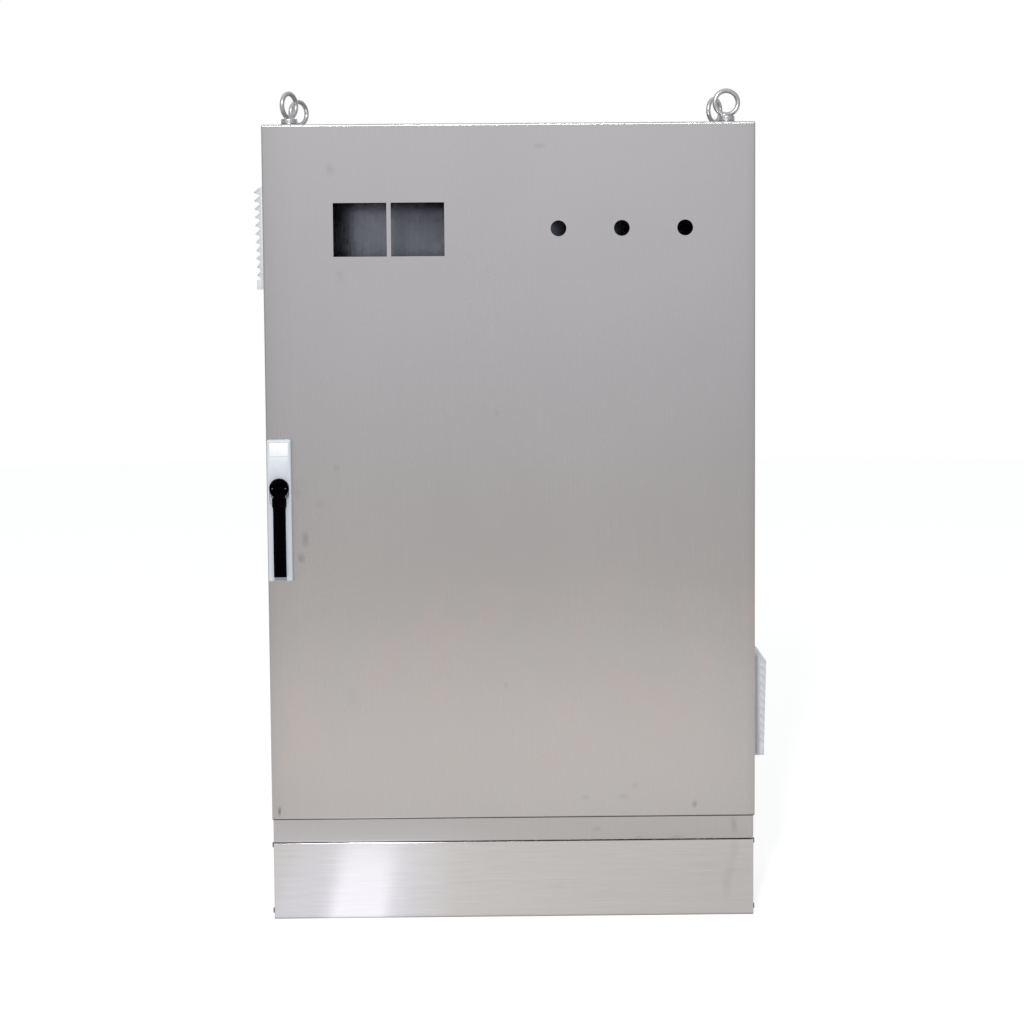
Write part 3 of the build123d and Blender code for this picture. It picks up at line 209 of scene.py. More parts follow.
def spots(finish, places):
    """The sum of soft spots, each (x, z, half width, half height, strength), on a front face."""
    drift = finish.texture("TexNoise", SPOT_NOISE).outputs["Color"]
    moved = finish.vector("SCALE", finish.vector("SUBTRACT", drift, (0.5, 0.5, 0.5)), SPOT_DRIFT)
    at = finish.vector("ADD", finish.place, moved)
    total = 0.0
    for x, z, wide, high, strength in places:
        offset = finish.vector("SUBTRACT", at, (x, 0, z))
        reach = finish.vector("LENGTH", finish.vector("MULTIPLY", offset, (1 / wide, 0, 1 / high)))
        spot = finish.span(reach, 0.0, 1.0, strength, 0.0, smooth=True)
        total = finish.math("ADD", total, spot)
    return total


# The grain of brushed sheet: scales per metre across and along it, detail, and weight
GRAIN_LAYERS = (
    (2600.0, 20.0, 2.0, 0.50),
    (640.0, 10.0, 2.0, 0.26),
    (150.0, 5.0, 1.0, 0.10),
)
# Just off upright, so no level face has it as its normal
GRAIN_UP = (0.0, 0.02, 1.0)
# A face counts as a flank, or as level, from this share of X or Z in its normal
FACE_SHARE = 0.7
# Shares of Z in the normal at which a leaning face begins to take its painted shade, and takes all
# of it
LEAN_START, LEAN_FULL = 0.08, 0.5
SCRATCH_DEPTH = 0.00002
BLOTCH_TINT = (1.09, 0.97, 0.95)


def brushed_steel(
    name, colour, roughness, upright, marks, blotch=0.0, grain=1.0, down_facing_shade=1.0, up_facing_shade=1.0, edge_shade=()
):
    """Ground stainless sheet: hairlines in three widths, faint clouds, smudges, anisotropic gloss.

    Blotch is the strength of the clouds of colour, and grain that of the hairlines. The levels of
    faces that look down and up are painted shade, and so are the (x, level) pairs that darken the
    sheet towards its edges.
    """
    finish = Finish(name, roughness, 1.0, Anisotropic=0.9)
    normal_x, _, normal_z = finish.axes(finish.facing)
    flank = finish.math("GREATER_THAN", finish.math("ABSOLUTE", normal_x), FACE_SHARE)
    level = finish.math("GREATER_THAN", finish.math("ABSOLUTE", normal_z), FACE_SHARE)
    layers = []
    streak = 0.0
    for across, run, detail, weight in GRAIN_LAYERS:
        if upright:
            front, side = (across, 0.0, run), (0.0, across, run)
        else:
            front, side = (run, 0.0, across), (0.0, run, across)
        scale = finish.either(level, finish.either(flank, front, side), (across, run, 0.0))
        layer = finish.noise(scale, detail)
        streak = finish.total(streak, (finish.math("SUBTRACT", layer, 0.5), weight * grain))
        layers.append(layer)
    hairlines, lines, _ = layers
    clouds = finish.math("SUBTRACT", finish.noise((3.2, 3.2, 2.4), 4.0, 0.6), 0.5)
    shade = finish.math("ADD", finish.total(1.0, (clouds, 0.10)), finish.times(streak, 0.35))
    # Painted shade on faces that look down, and on faces that look up
    shade = finish.times(shade, finish.span(normal_z, -LEAN_FULL, -LEAN_START, down_facing_shade, 1.0))
    shade = finish.times(shade, finish.span(normal_z, LEAN_START, LEAN_FULL, 1.0, up_facing_shade))
    soiled = spots(finish, marks)
    shade = finish.times(shade, finish.math("SUBTRACT", 1.0, soiled))
    place_x, _, height = finish.axes(finish.place)
    # Painted shade, darker towards the sheet's edges
    if edge_shade:
        stops = [(x + 0.5, shade_level) for x, shade_level in edge_shade]
        shade = finish.times(shade, levels(finish.tree, finish.span(place_x, -0.5, 0.5), stops))
    tone = finish.scaled(colour, shade)
    if blotch:
        # Only near the bottom of the sheet
        patches = finish.span(finish.noise((14, 14, 9), 5.0, 0.62), 0.50, 0.68)
        low = finish.times(
            finish.span(height, 0.17, 0.27, smooth=True),
            finish.span(height, 0.40, 0.58, 1.0, 0.0, smooth=True),
        )
        share = finish.times(patches, finish.times(low, blotch))
        tone = finish.mix(share, tone, [c * k for c, k in zip(colour, BLOTCH_TINT)])
    gloss = finish.total(roughness, (streak, 0.16), (clouds, 0.05), (soiled, 0.6))
    relief = finish.math("ADD", hairlines, finish.times(lines, 0.8))
    scratches = finish.bump(relief, SCRATCH_DEPTH * grain)
    if upright:
        normal = finish.node("NewGeometry").outputs["Normal"]
        across_grain = finish.vector("CROSS_PRODUCT", GRAIN_UP, normal)
    else:
        across_grain = finish.node("CombineXYZ", GRAIN_UP).outputs[0]
    return finish.set(tone, gloss, scratches, across_grain)


def zinc_sheet(name, colour, roughness, marks=()):
    """Zinc-coated sheet: soft rolled streaks over a faint crystal pattern, with spots of painted
    shade where given.
    """
    finish = Finish(name, roughness, 1.0)
    rolled = finish.noise((420, 420, 9), 3.0)
    cells = finish.texture("TexVoronoi", (160, 160, 110)).outputs["Color"]
    crystal = finish.node("SeparateColor", (cells,)).outputs[0]
    cloud = finish.noise((9, 9, 6), 4.0)
    shade = finish.total(0.72, (rolled, 0.30), (crystal, 0.08), (cloud, 0.16))
    # Spots of painted shade
    if marks:
        shade = finish.times(shade, finish.math("SUBTRACT", 1.0, spots(finish, marks)))
    gloss = finish.total(roughness - 0.08, (cloud, 0.10), (crystal, 0.06))
    return finish.set(finish.scaled(colour, shade), gloss, finish.bump(rolled, 0.00003))


def plated(name, colour, roughness, pitted=0.00003, metallic=1.0):
    """Plated or oiled small steel parts, with fine pitting and duller patches."""
    finish = Finish(name, roughness, metallic)
    fine = finish.noise((1500, 1500, 1500), 3.0)
    patch = finish.noise((110, 110, 110), 3.0, 0.6)
    shade = finish.total(0.75, (fine, 0.16), (patch, 0.34))
    gloss = finish.total(roughness - 0.1, (patch, 0.22))
    normal = finish.bump(finish.math("ADD", fine, finish.times(patch, 1.5)), pitted)
    return finish.set(finish.scaled(colour, shade), gloss, normal)


DUST = display(150, 146, 138)


def moulded(name, colour, roughness, texture=2200.0, depth=0.00002, dust=0.0, **sockets):
    """Moulded plastic with a spark-eroded texture, faint flow shading and a little dust."""
    finish = Finish(name, roughness, 0.0, **sockets)
    grainy = finish.noise((texture, texture, texture), 3.0)
    flow = finish.noise((22, 22, 22), 3.0)
    tone = finish.scaled(colour, finish.total(0.935, (grainy, 0.05), (flow, 0.08)))
    if dust:
        upward = finish.axes(finish.facing)[2]
        settled = finish.times(finish.span(upward, 0.3, 0.9), finish.noise((70, 70, 70), 4.0))
        tone = finish.mix(finish.times(settled, dust), tone, DUST)
    gloss = finish.total(roughness - 0.09, (flow, 0.08), (grainy, 0.10))
    return finish.set(tone, gloss, finish.bump(grainy, depth))


def powder_coat(name, colour, roughness):
    """Powder-coated zinc casting: orange peel, tiny specks and slightly duller rubbed areas."""
    finish = Finish(name, roughness, 0.0)
    peel = finish.noise((620, 620, 620), 2.0)
    speck = finish.noise((3200, 3200, 3200), 2.0)
    rubbed = finish.noise((34, 34, 26), 4.0)
    shade = finish.total(0.945, (speck, 0.05), (rubbed, 0.06))
    gloss = finish.total(roughness - 0.12, (peel, 0.08), (rubbed, 0.16))
    height = finish.total(peel, (speck, 0.25))
    return finish.set(finish.scaled(colour, shade), gloss, finish.bump(height, 0.00005))


def foam_rubber(name, colour, roughness):
    """Closed-cell foam: small pores, uneven skin and a dusty bloom."""
    finish = Finish(name, roughness, 0.0)
    cells = finish.texture("TexVoronoi", (900, 900, 900)).outputs["Distance"]
    pore = finish.span(cells, 0.0, 0.5)
    skin = finish.noise((260, 260, 260), 4.0)
    bloom = finish.noise((30, 30, 30), 3.0)
    shade = finish.total(0.5, (pore, 0.4), (bloom, 0.5))
    height = finish.total(pore, (skin, 0.8))
    return finish.set(finish.scaled(colour, shade), None, finish.bump(height, 0.00012))


def fibre_mat(name, colour):
    """Filter fleece: tangled fibres in two directions, with darker hollows between them."""
    finish = Finish(name, 0.9, 0.0, Sheen_Weight=0.3)
    first = finish.noise((900, 2600, 180), 3.0)
    second = finish.noise((900, 180, 2600), 3.0)
    tangle = finish.math("MAXIMUM", first, second)
    clump = finish.noise((120, 120, 120), 4.0)
    shade = finish.total(0.15, (clump, 0.5), (tangle, 0.9))
    return finish.set(finish.scaled(colour, shade), None, finish.bump(tangle, 0.0006))


# Smudges, rubbed places and specks, as spots() takes them
DOOR_MARKS = (
    (-0.296, 0.560, 0.008, 0.016, 0.22),
    (-0.302, 0.532, 0.008, 0.011, 0.22),
    (-0.3385, 0.163, 0.004, 0.010, 0.40),
    (-0.274, 0.610, 0.008, 0.010, 0.08),
    (-0.305, 0.625, 0.007, 0.010, 0.08),
    (-0.250, 0.661, 0.007, 0.009, 0.09),
    (-0.253, 1.084, 0.009, 0.014, 0.07),
    (-0.241, 0.936, 0.010, 0.014, 0.05),
    (0.043, 1.117, 0.012, 0.006, 0.09),
    (0.262, 0.168, 0.006, 0.009, 0.20),
    (0.104, 0.180, 0.009, 0.006, 0.08),
    (0.159, 0.180, 0.012, 0.006, 0.07),
    (0.176, 0.197, 0.006, 0.008, 0.06),
    (-0.010, 0.345, 0.006, 0.009, 0.05),
    (-0.019, 0.738, 0.005, 0.006, 0.06),
    (-0.230, 0.330, 0.020, 0.030, 0.03),
)
BODY_MARKS = (
    (0.122, 0.129, 0.012, 0.006, 0.10),
    (0.183, 0.1155, 0.010, 0.004, 0.10),
    (0.238, 0.1160, 0.014, 0.004, 0.09),
    (0.321, 0.133, 0.007, 0.020, 0.12),
)
PLINTH_MARKS = (
    (0.3215, 0.097, 0.011, 0.024, 0.08),
    (0.3175, 0.072, 0.011, 0.028, 0.08),
    (0.3110, 0.045, 0.012, 0.032, 0.10),
    (0.060, 0.045, 0.020, 0.010, 0.03),
)
# Painted shade on the mounting plate, spots towards its upper left, as spots() takes them
PLATE_SHADE_SPOTS = (
    (-0.100, 1.060, 0.110, 0.110, 0.60),
    (-0.190, 1.110, 0.160, 0.050, 0.45),
)
# Painted shade across the door, by X: darker towards its edges
DOOR_EDGE_SHADE = (
    (-0.350, 0.86),
    (-0.343, 0.92),
    (-0.330, 0.95),
    (-0.305, 0.98),
    (-0.200, 1.00),
    (0.100, 1.00),
    (0.270, 0.97),
    (0.335, 0.94),
    (0.343, 0.90),
    (0.350, 0.84),
)

DOOR_STEEL = (0.505, 0.490, 0.497)
BODY_STEEL = (0.482, 0.468, 0.474)
PLINTH_STEEL = (0.560, 0.548, 0.556)

door_steel = brushed_steel(
    "door_steel",
    DOOR_STEEL,
    0.27,
    True,
    DOOR_MARKS,
    blotch=0.5,
    grain=0.4,
    # painted shade: a dark line along the door's bottom fold
    down_facing_shade=0.12,
    edge_shade=DOOR_EDGE_SHADE,
)
body_steel = brushed_steel("body_steel", BODY_STEEL, 0.30, True, BODY_MARKS, grain=0.5)
# Its top fold has painted shade, which dims the lamp's highlight there
plinth_steel = brushed_steel("plinth_steel", PLINTH_STEEL, 0.16, False, PLINTH_MARKS, up_facing_shade=0.30)
# The mounting plate: a darker copy of the zinc sheet, for painted shade inside the cabinet, with
# painted shade spots
shaded_plate_zinc = zinc_sheet("shaded_plate_zinc", (0.155, 0.16, 0.187), 0.15, PLATE_SHADE_SPOTS)
finishes = {
    "stainless": body_steel,
    "zinc_sheet": zinc_sheet("zinc_sheet", (0.56, 0.585, 0.62), 0.36),
    "zinc_fasteners": plated("zinc_fasteners", (0.60, 0.60, 0.585), 0.34),
    "eye_steel": plated("eye_steel", (0.44, 0.44, 0.445), 0.28, 0.00004),
    "dark_screws": plated("dark_screws", (0.10, 0.10, 0.10), 0.45, metallic=0.8),
    "seal": foam_rubber("seal", (0.055, 0.055, 0.057), 0.85),
    "filter_grey": moulded("filter_grey", display(220, 222, 227), 0.52, dust=0.15),
    "filter_fibre": fibre_mat("filter_fibre", (0.72, 0.72, 0.69)),
    "fan_black": moulded("fan_black", (0.030, 0.030, 0.031), 0.42, dust=0.25),
    "handle_grey": powder_coat("handle_grey", display(214, 220, 227), 0.42),
    "window_white": moulded(
        "window_white", display(253, 254, 254), 0.22, 900.0, 0.000004, Coat_Weight=0.4
    ),
    "handle_black": moulded(
        "handle_black", (0.0004, 0.0004, 0.0011), 0.5, 2600.0, 0.000025, Specular_IOR_Level=0.01
    ),
    "lock_plastic": moulded("lock_plastic", (0.040, 0.041, 0.043), 0.55, dust=0.2),
}
# Nodes whose finish differs from the rest of their slot
own_finish = {
    "door_panel": door_steel,
    "mounting_plate": shaded_plate_zinc,
    "plinth_front": plinth_steel,
    "plinth_rear": plinth_steel,
    "plinth_side_left": plinth_steel,
    "plinth_side_right": plinth_steel,
}


def finish_of(node_name):
    return own_finish.get(node_name, finishes[slot_of[node_name]])


def dress(piece, material):
    """Gives a piece one material in place of what it has."""
    piece.data.materials.clear()
    piece.data.materials.append(material)


for node_name, cad_piece in nodes.items():
    dress(cad_piece, finish_of(node_name))


# Pieces built here, which stand for CAD nodes


def add_piece(name, mesh, node_name, smooth_angle=None):
    """A mesh as an object that rides, and takes its finish, as the node it stands for does."""
    made = bpy.data.objects.new(name, mesh)
    bpy.context.scene.collection.objects.link(made)
    dress(made, finish_of(node_name))
    if smooth_angle is not None:
        mesh.shade_smooth()
        mesh.set_sharp_from_angle(angle=math.radians(smooth_angle))
    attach(made, body_of[node_name])
    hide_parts(node_name)


def applied(made):
    """The mesh that an object's modifiers leave. The object itself goes."""
    graph = bpy.context.evaluated_depsgraph_get()
    mesh = bpy.data.meshes.new_from_object(made.evaluated_get(graph))
    bpy.data.objects.remove(made)
    return mesh


# In degrees: edges that turn by more than the first are rounded, by less than the second removed
SHARP_TURN = 30.0
FLAT_TURN = 0.6


def eased(node_name, width, segments=2):
    """A copy of a CAD node with its sharp edges rounded off."""
    mesh = nodes[node_name].data.copy()
    work = bmesh.new()
    work.from_mesh(mesh)
    bmesh.ops.remove_doubles(work, verts=work.verts, dist=1e-6)
    bmesh.ops.dissolve_limit(
        work, angle_limit=math.radians(FLAT_TURN), verts=work.verts, edges=work.edges
    )
    work.to_mesh(mesh)
    work.free()
    made = bpy.data.objects.new("eased", mesh)
    bpy.context.scene.collection.objects.link(made)
    bevel = made.modifiers.new("bevel", "BEVEL")
    bevel.width = width
    bevel.segments = segments
    bevel.limit_method = "ANGLE"
    bevel.angle_limit = math.radians(SHARP_TURN)
    bevel.use_clamp_overlap = True
    bevel.miter_outer = "MITER_ARC"
    add_piece(node_name + "_eased", applied(made), node_name, smooth_angle=40)


eased("handle_housing", 0.4 * MM)
eased("handle_window", 0.25 * MM)
eased("handle_hub", 0.6 * MM, 3)
eased("lever", 1.1 * MM, 4)
eased("outlet_cover", 0.25 * MM)
eased("fan_cover", 0.25 * MM)


def forged_eyes():
    """The eye bolts as forgings: the ring flows into its neck and collar."""
    made = bpy.data.objects.new("forged", nodes["eye_bolts"].data.copy())
    bpy.context.scene.collection.objects.link(made)
    remesh = made.modifiers.new("remesh", "REMESH")
    remesh.mode = "VOXEL"
    remesh.voxel_size = 0.75 * MM
    smooth = made.modifiers.new("smooth", "CORRECTIVE_SMOOTH")
    smooth.factor = 0.5
    smooth.iterations = 4
    smooth.use_only_smooth = True
    mesh = applied(made)
    mesh.shade_smooth()
    add_piece("forged_eyes", mesh, "eye_bolts")


forged_eyes()


def ring_path(half_x, low, high, radius, steps, spacing):
    """Points, and outward directions, round a rectangle with rounded corners in X and Z."""
    path = []
    centres = (
        (half_x - radius, high - radius, 0),
        (-half_x + radius, high - radius, 90),
        (-half_x + radius, low + radius, 180),
        (half_x - radius, low + radius, 270),
    )
    for (x, z, start), (next_x, next_z, _) in zip(centres, centres[1:] + centres[:1]):
        for step in range(steps + 1):
            turn = math.radians(start + 90 * step / steps)
            out = Vector((math.cos(turn), 0, math.sin(turn)))
            path.append((Vector((x, 0, z)) + out * radius, out))
        # Points along the straight run to the next corner, where the bead can vary
        run_start = path[-1][0]
        run_end = Vector((next_x, 0, next_z)) + out * radius
        count = max(2, round((run_end - run_start).length / spacing))
        for step in range(1, count):
            path.append((run_start.lerp(run_end, step / count), out))
    return path


def skinned(name, work, rings):
    """The mesh of a closed chain of vertex rings, each joined to the next. Frees the work."""
    for first, second in zip(rings, rings[1:] + rings[:1]):
        for a, b in zip(range(len(first)), [*range(1, len(first)), 0]):
            work.faces.new((first[a], second[a], second[b], first[b]))
    bmesh.ops.recalc_face_normals(work, faces=work.faces)
    mesh = bpy.data.meshes.new(name)
    work.to_mesh(mesh)
    work.free()
    return mesh


def swept_ring(name, path, section, wobble):
    """A closed bead: the section, as (out, forward) pairs, carried round the path.

    Wobble is the share by which noise moves its skin out and in.
    """
    work = bmesh.new()
    rings = []
    for point, out in path:
        ring = []
        for across, forward in section:
            seed = Vector((point.x * 30, forward * 400, point.z * 30))
            drift = 1 + wobble * noise.noise(seed)
            ring.append(work.verts.new(point + out * across * drift + Vector((0, forward, 0))))
        rings.append(ring)
    return skinned(name, work, rings)


SEAL_WIDTH = 14 * MM
SEAL_CORNER = 9 * MM
SEAL_STEPS = 12
SEAL_WOBBLE = 0.03
# Share of the CAD seal's width, so that the wobble stays inside it
SEAL_SHARE = 0.97


def foam_seal():
    """The foamed-in-place door seal: a crowned bead with a slightly uneven skin."""
    low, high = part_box("door_gasket")
    height = high.y - low.y
    profile = [(-SEAL_WIDTH * 0.47, 0.0), (SEAL_WIDTH * 0.47, 0.0)]
    for step in range(SEAL_STEPS + 1):
        turn = math.pi * step / SEAL_STEPS
        crown = 0.22 + 0.78 * math.sin(turn) ** 0.7
        profile.append((SEAL_WIDTH / 2 * math.cos(turn), height * crown))
    section = [(across * SEAL_SHARE, low.y + forward) for across, forward in profile]
    path = ring_path(
        high.x - SEAL_WIDTH / 2,
        low.z + SEAL_WIDTH / 2,
        high.z - SEAL_WIDTH / 2,
        SEAL_CORNER,
        steps=8,
        spacing=20 * MM,
    )
    mesh = swept_ring("foam_seal", path, section, SEAL_WOBBLE)
    add_piece("foam_seal", mesh, "door_gasket", smooth_angle=50)


GLAND_LAP = 20 * MM
# The section of the gland seal: shares of its lap outwards and of its thickness upwards
GLAND_SECTION = (
    (0.0, 0.0),
    (0.0, 1.0),
    (0.35, 1.0),
    (0.65, 1.0),
    (0.985, 1.0),
    (1.0, 0.7),
    (1.0, 0.3),
    (0.985, 0.0),
)


def gland_seal():
    """The flat rubber seal under the gland plate, squeezed so its edges bulge."""
    low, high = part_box("gland_gasket")
    thick = high.z - low.z
    work = bmesh.new()
    rings = []
    for across, lift in GLAND_SECTION:
        inset = GLAND_LAP * (1 - across)
        x, y, z = high.x - inset, high.y - inset, low.z + thick * lift
        corners = ((x, y, z), (-x, y, z), (-x, -y, z), (x, -y, z))
        rings.append([work.verts.new(corner) for corner in corners])
    mesh = skinned("gland_seal", work, rings)
    add_piece("gland_seal", mesh, "gland_gasket", smooth_angle=30)


FLEECE_CUTS = 39
# The outer share of a mat that softens towards its edges, and by how much of its thickness
FLEECE_RIM = 0.14
FLEECE_SOFTENING = 0.22


def fleece(node_name, name):
    """A filter mat: a slab of fleece with uneven faces and softened edges."""
    low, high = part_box(node_name)
    centre, size = (low + high) / 2, high - low
    work = bmesh.new()
    bmesh.ops.create_cube(work, size=1.0)
    bmesh.ops.subdivide_edges(work, edges=work.edges, cuts=FLEECE_CUTS, use_grid_fill=True)
    for vertex in work.verts:
        share = vertex.co.copy()
        rim = max(abs(share.y), abs(share.z)) * 2
        softened = FLEECE_SOFTENING * max(0.0, rim - (1 - FLEECE_RIM)) / FLEECE_RIM
        seed = Vector((share.x * 4, share.y * 26, share.z * 26))
        sunk = 0.10 + 0.10 * noise.noise(seed) + 0.05 * noise.noise(seed * 3.1)
        share.x *= 1 - sunk - softened
        edge = 1 - 0.006 * (1 + noise.noise(seed * 1.7))
        share.y *= edge
        share.z *= edge
        vertex.co = centre + Vector((share.x * size.x, share.y * size.y, share.z * size.z))
    mesh = bpy.data.meshes.new(name)
    work.to_mesh(mesh)
    work.free()
    add_piece(name, mesh, node_name, smooth_angle=60)


foam_seal()
gland_seal()
fleece("outlet_mat", "outlet_fleece")
fleece("fan_mat", "fan_fleece")


# Stage: a pale floor that keeps the shadow, and a plain world. Mirrored rays get levels of their
# own from both, which put the lights and darks on the steel.

FLOOR_RADIUS = 9.0
FLOOR_SIDES = 96
# The floor lies this far under the plinth, so that no two faces share a plane
FLOOR_DROP = 0.0005
# What the camera sees: a matt grey that takes the shadow, under a glow that lifts it to white
FLOOR_GREY = 0.40
FLOOR_GLOW = 0.72
# What mirrored rays see: levels by distance from the cabinet's middle
FLOOR_LEVELS = (
    (0.0, 0.92),
    (0.55, 0.92),
    (0.70, 0.86),
    (0.85, 0.93),
    (1.20, 1.00),
    (2.10, 1.01),
    (2.70, 0.96),
    (3.40, 0.84),
    (4.10, 0.735),
    (5.20, 0.725),
    (6.60, 0.76),
    (8.90, 0.76),
)
# and, multiplied in, levels by X of the patch of light before the plinth
PATCH_LEVELS = (
    (-0.362, 1.12),
    (-0.345, 1.22),
    (-0.290, 1.26),
    (-0.277, 1.45),
    (-0.262, 1.88),
    (-0.198, 1.84),
    (-0.180, 1.42),
    (-0.156, 1.24),
    (-0.094, 1.06),
    (-0.020, 1.0),
    (0.270, 0.93),
    (0.350, 0.91),
)
# The patch begins at the first Y and is full at the second, and ends behind the front
PATCH_START, PATCH_FULL = -0.72, -0.60
PATCH_BACK = 0.1
# A place is lit from the first level on, and in full at the second
LIT_START, LIT_FULL = 1.04, 1.25
# Lit places gain this share at the first Y, which is gone at the second
LIT_GAIN = 0.16
GAIN_START, GAIN_END = -0.62, -0.40
FLOOR_TINT = (1.0, 0.975, 0.930)
LIT_TINT = (0.985, 0.985, 1.035)
# In mirrored rays the floor round the plinth has painted shadow: this level up to the first
# distance, and its own past the second
PLINTH_HALF_DEPTH = 0.140
PLINTH_HALF_WIDTH = 0.350
FOOT_SHADOW_LEVEL = 0.4
FOOT_START, FOOT_END = 0.002, 0.012


def disc(name, radius, sides):
    work = bmesh.new()
    bmesh.ops.create_circle(work, cap_ends=True, segments=sides, radius=radius)
    mesh = bpy.data.meshes.new(name)
    work.to_mesh(mesh)
    work.free()
    made = bpy.data.objects.new(name, mesh)
    bpy.context.scene.collection.objects.link(made)
    return made


def floor_material():
    """White to the camera but for the shadow, and the levels and tints above to mirrored rays."""
    finish = Finish("floor", 0.9)
    tree = finish.tree
    tree.nodes.remove(finish.shader)
    path = finish.node("LightPath")
    seen = finish.math(
        "MAXIMUM", path.outputs["Is Camera Ray"], path.outputs["Is Transmission Ray"]
    )
    matt = finish.node("BsdfDiffuse", ((FLOOR_GREY, FLOOR_GREY, FLOOR_GREY, 1.0),)).outputs[0]
    white = (1.0, 1.0, 1.0, 1.0)
    glow = finish.node("Emission", (white, finish.times(seen, FLOOR_GLOW))).outputs[0]
    direct = finish.node("AddShader", (matt, glow)).outputs[0]
    reach = finish.math("DIVIDE", finish.vector("LENGTH", finish.place), FLOOR_RADIUS)
    tone = levels(tree, reach, [(metres / FLOOR_RADIUS, level) for metres, level in FLOOR_LEVELS])
    across, along, _ = finish.axes(finish.place)
    stops = [(x + 0.5, level) for x, level in PATCH_LEVELS]
    patch = levels(tree, finish.span(across, -0.5, 0.5), stops)
    ahead = finish.span(along, 0.0, PATCH_BACK, 1.0, 0.0)
    near = finish.times(finish.span(along, PATCH_START, PATCH_FULL, smooth=True), ahead)
    lit = finish.times(near, finish.span(patch, LIT_START, LIT_FULL))
    gain = finish.span(along, GAIN_START, GAIN_END, LIT_GAIN, 0.0)
    patch = finish.scaled(patch, finish.total(1.0, (lit, gain)))
    tone = finish.mix(near, tone, finish.mix(1.0, tone, patch, "MULTIPLY"))
    tint = finish.mix(lit, FLOOR_TINT, LIT_TINT)
    past_front = finish.math("SUBTRACT", finish.math("ABSOLUTE", along), PLINTH_HALF_DEPTH)
    past_side = finish.math("SUBTRACT", finish.math("ABSOLUTE", across), PLINTH_HALF_WIDTH)
    clear = finish.math("MAXIMUM", past_front, past_side)
    # Painted shadow at the plinth's foot, in mirrored rays
    shaded = finish.scaled(tone, finish.span(clear, FOOT_START, FOOT_END, FOOT_SHADOW_LEVEL, 1.0))
    mirrored = finish.node("Emission", (finish.mix(1.0, shaded, tint, "MULTIPLY"), 1.0)).outputs[0]
    both = finish.node("MixShader", (path.outputs["Is Glossy Ray"], direct, mirrored)).outputs[0]
    tree.links.new(both, tree.nodes["Material Output"].inputs["Surface"])
    return finish.material


floor = disc("floor", FLOOR_RADIUS, FLOOR_SIDES)
floor.location.z = -FLOOR_DROP
dress(floor, floor_material())

# What mirrored rays see of the sky: levels by height, 0 straight down and 1 straight up
SKY_LEVELS = (
    (0.0, 0.75),
    (0.44, 0.75),
    (0.4625, 0.76),
    (0.4720, 0.81),
    (0.4817, 0.875),
    (0.4910, 0.91),
    (0.5060, 0.95),
    (0.5190, 0.98),
    (0.60, 0.96),
    (0.75, 0.95),
    (1.0, 1.10),
)
SKY_TINT = (0.985, 0.988, 1.012, 1.0)
# It is dimmer to the left and right, but not overhead
SIDE_LEVEL = 0.60
# What matt surfaces see
DAYLIGHT = (0.97, 0.985, 1.0, 1.0)
DAYLIGHT_STRENGTH = 0.66


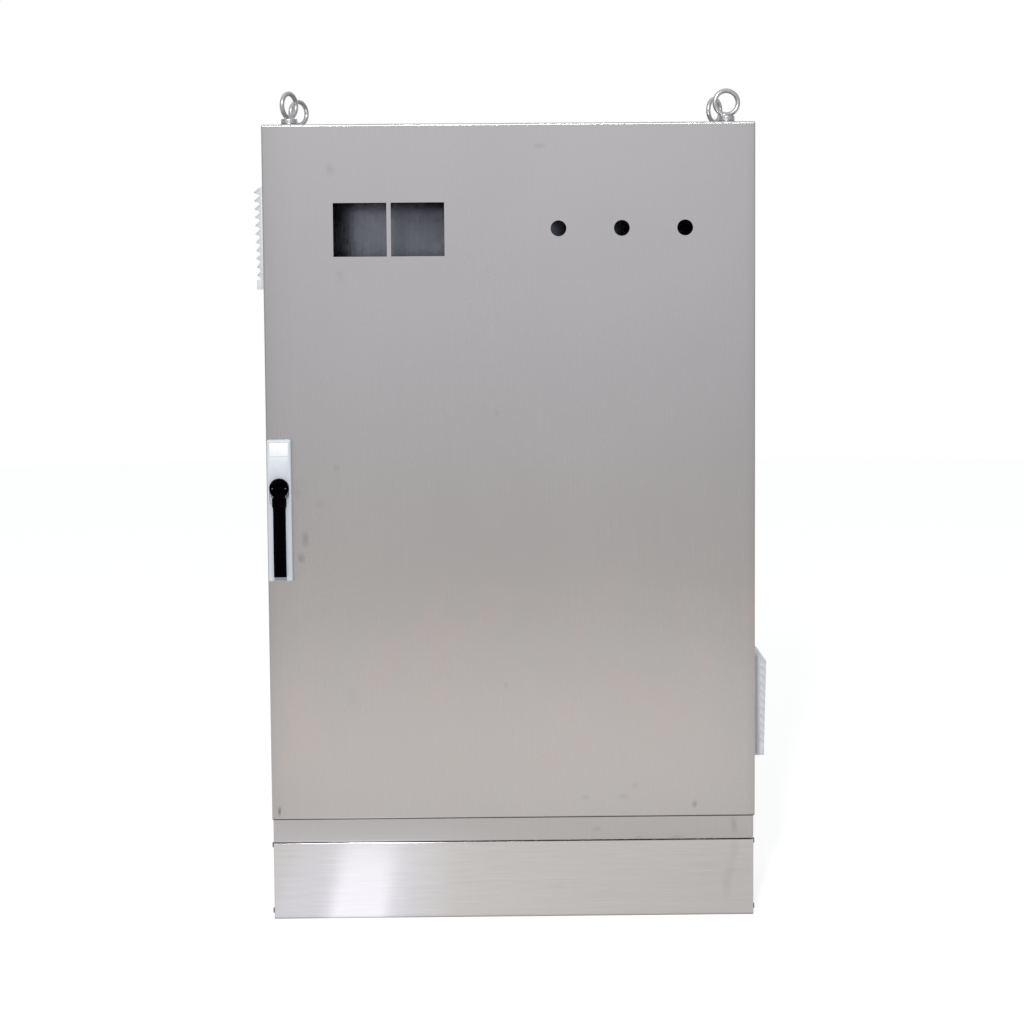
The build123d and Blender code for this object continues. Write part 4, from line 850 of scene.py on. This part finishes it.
def studio(world):
    """White to the camera, plain daylight to matt surfaces, and the sky above to mirrored rays."""
    world.use_nodes = True
    tree = world.node_tree
    tree.nodes.clear()

    def node(kind, *inputs, **settings):
        return add_node(tree, kind, inputs, **settings)

    generated = node("TexCoord").outputs["Generated"]
    _, along, upward = node("SeparateXYZ", generated).outputs
    height = node("MapRange", upward, -1.0, 1.0, 0.0, 1.0).outputs[0]
    tinted = node("Mix", 1.0, data_type="RGBA", blend_type="MULTIPLY")
    feed(tree, levels(tree, height, SKY_LEVELS), tinted.inputs[6])
    feed(tree, SKY_TINT, tinted.inputs[7])
    ahead = node("Math", along, operation="ABSOLUTE").outputs[0]
    aside = node("MapRange", ahead, 0.1, 0.8, SIDE_LEVEL, 1.0).outputs[0]
    overhead = node("MapRange", upward, 0.3, 0.8, 0.0, 1.0).outputs[0]
    strength = node("Math", aside, overhead, operation="MAXIMUM").outputs[0]
    mirrored = node("Background", tinted.outputs[2], strength).outputs[0]
    daylight = node("Background", DAYLIGHT, DAYLIGHT_STRENGTH).outputs[0]
    white = node("Background", (1.0, 1.0, 1.0, 1.0), 1.0).outputs[0]
    ray = node("LightPath").outputs
    seen = node("Math", ray["Is Camera Ray"], ray["Is Transmission Ray"], operation="MAXIMUM")
    lit = node("MixShader", ray["Is Glossy Ray"], daylight, mirrored).outputs[0]
    final = node("MixShader", seen.outputs[0], lit, white).outputs[0]
    node("OutputWorld", final)


bpy.context.scene.world = bpy.data.worlds.new("studio")
studio(bpy.context.scene.world)


def softbox(name, place, target, width, height, watts):
    lamp = bpy.data.lights.new(name, "AREA")
    lamp.shape = "RECTANGLE"
    lamp.size = width
    lamp.size_y = height
    lamp.energy = watts
    made = bpy.data.objects.new(name, lamp)
    bpy.context.scene.collection.objects.link(made)
    made.location = place
    made.rotation_euler = (Vector(target) - Vector(place)).to_track_quat("-Z", "Y").to_euler()


LAMP_TARGET = (0.0, 0.0, 0.6)
softbox("main", (-0.48, -5.0, 3.25), LAMP_TARGET, 0.26, 0.9, 146.0)
softbox("fill", (-2.4, -3.4, 3.0), LAMP_TARGET, 1.6, 1.6, 10.0)


# Camera: a pinhole fitted to the photo's edges. Metres and radians.

CAMERA_PLACE = (-0.0370, -3.9555, 0.9543)
CAMERA_YAW = 0.00999
CAMERA_PITCH = 0.09412
CAMERA_ROLL = -0.00763
FOCAL_PIXELS = 2658.8
FRAME_PIXELS = 1024.0
SENSOR_WIDTH = 36.0
FAR_CLIP = 60.0

camera = bpy.data.objects.new("camera", bpy.data.cameras.new("camera"))
bpy.context.scene.collection.objects.link(camera)
camera.data.sensor_width = SENSOR_WIDTH
camera.data.lens = FOCAL_PIXELS / FRAME_PIXELS * SENSOR_WIDTH
camera.data.clip_end = FAR_CLIP
camera.matrix_world = (
    Matrix.Translation(CAMERA_PLACE)
    @ Matrix.Rotation(-CAMERA_YAW, 4, "Z")
    @ Matrix.Rotation(math.pi / 2 - CAMERA_PITCH, 4, "X")
    @ Matrix.Rotation(CAMERA_ROLL, 4, "Z")
)
bpy.context.scene.camera = camera
bpy.context.scene.view_settings.view_transform = "Standard"
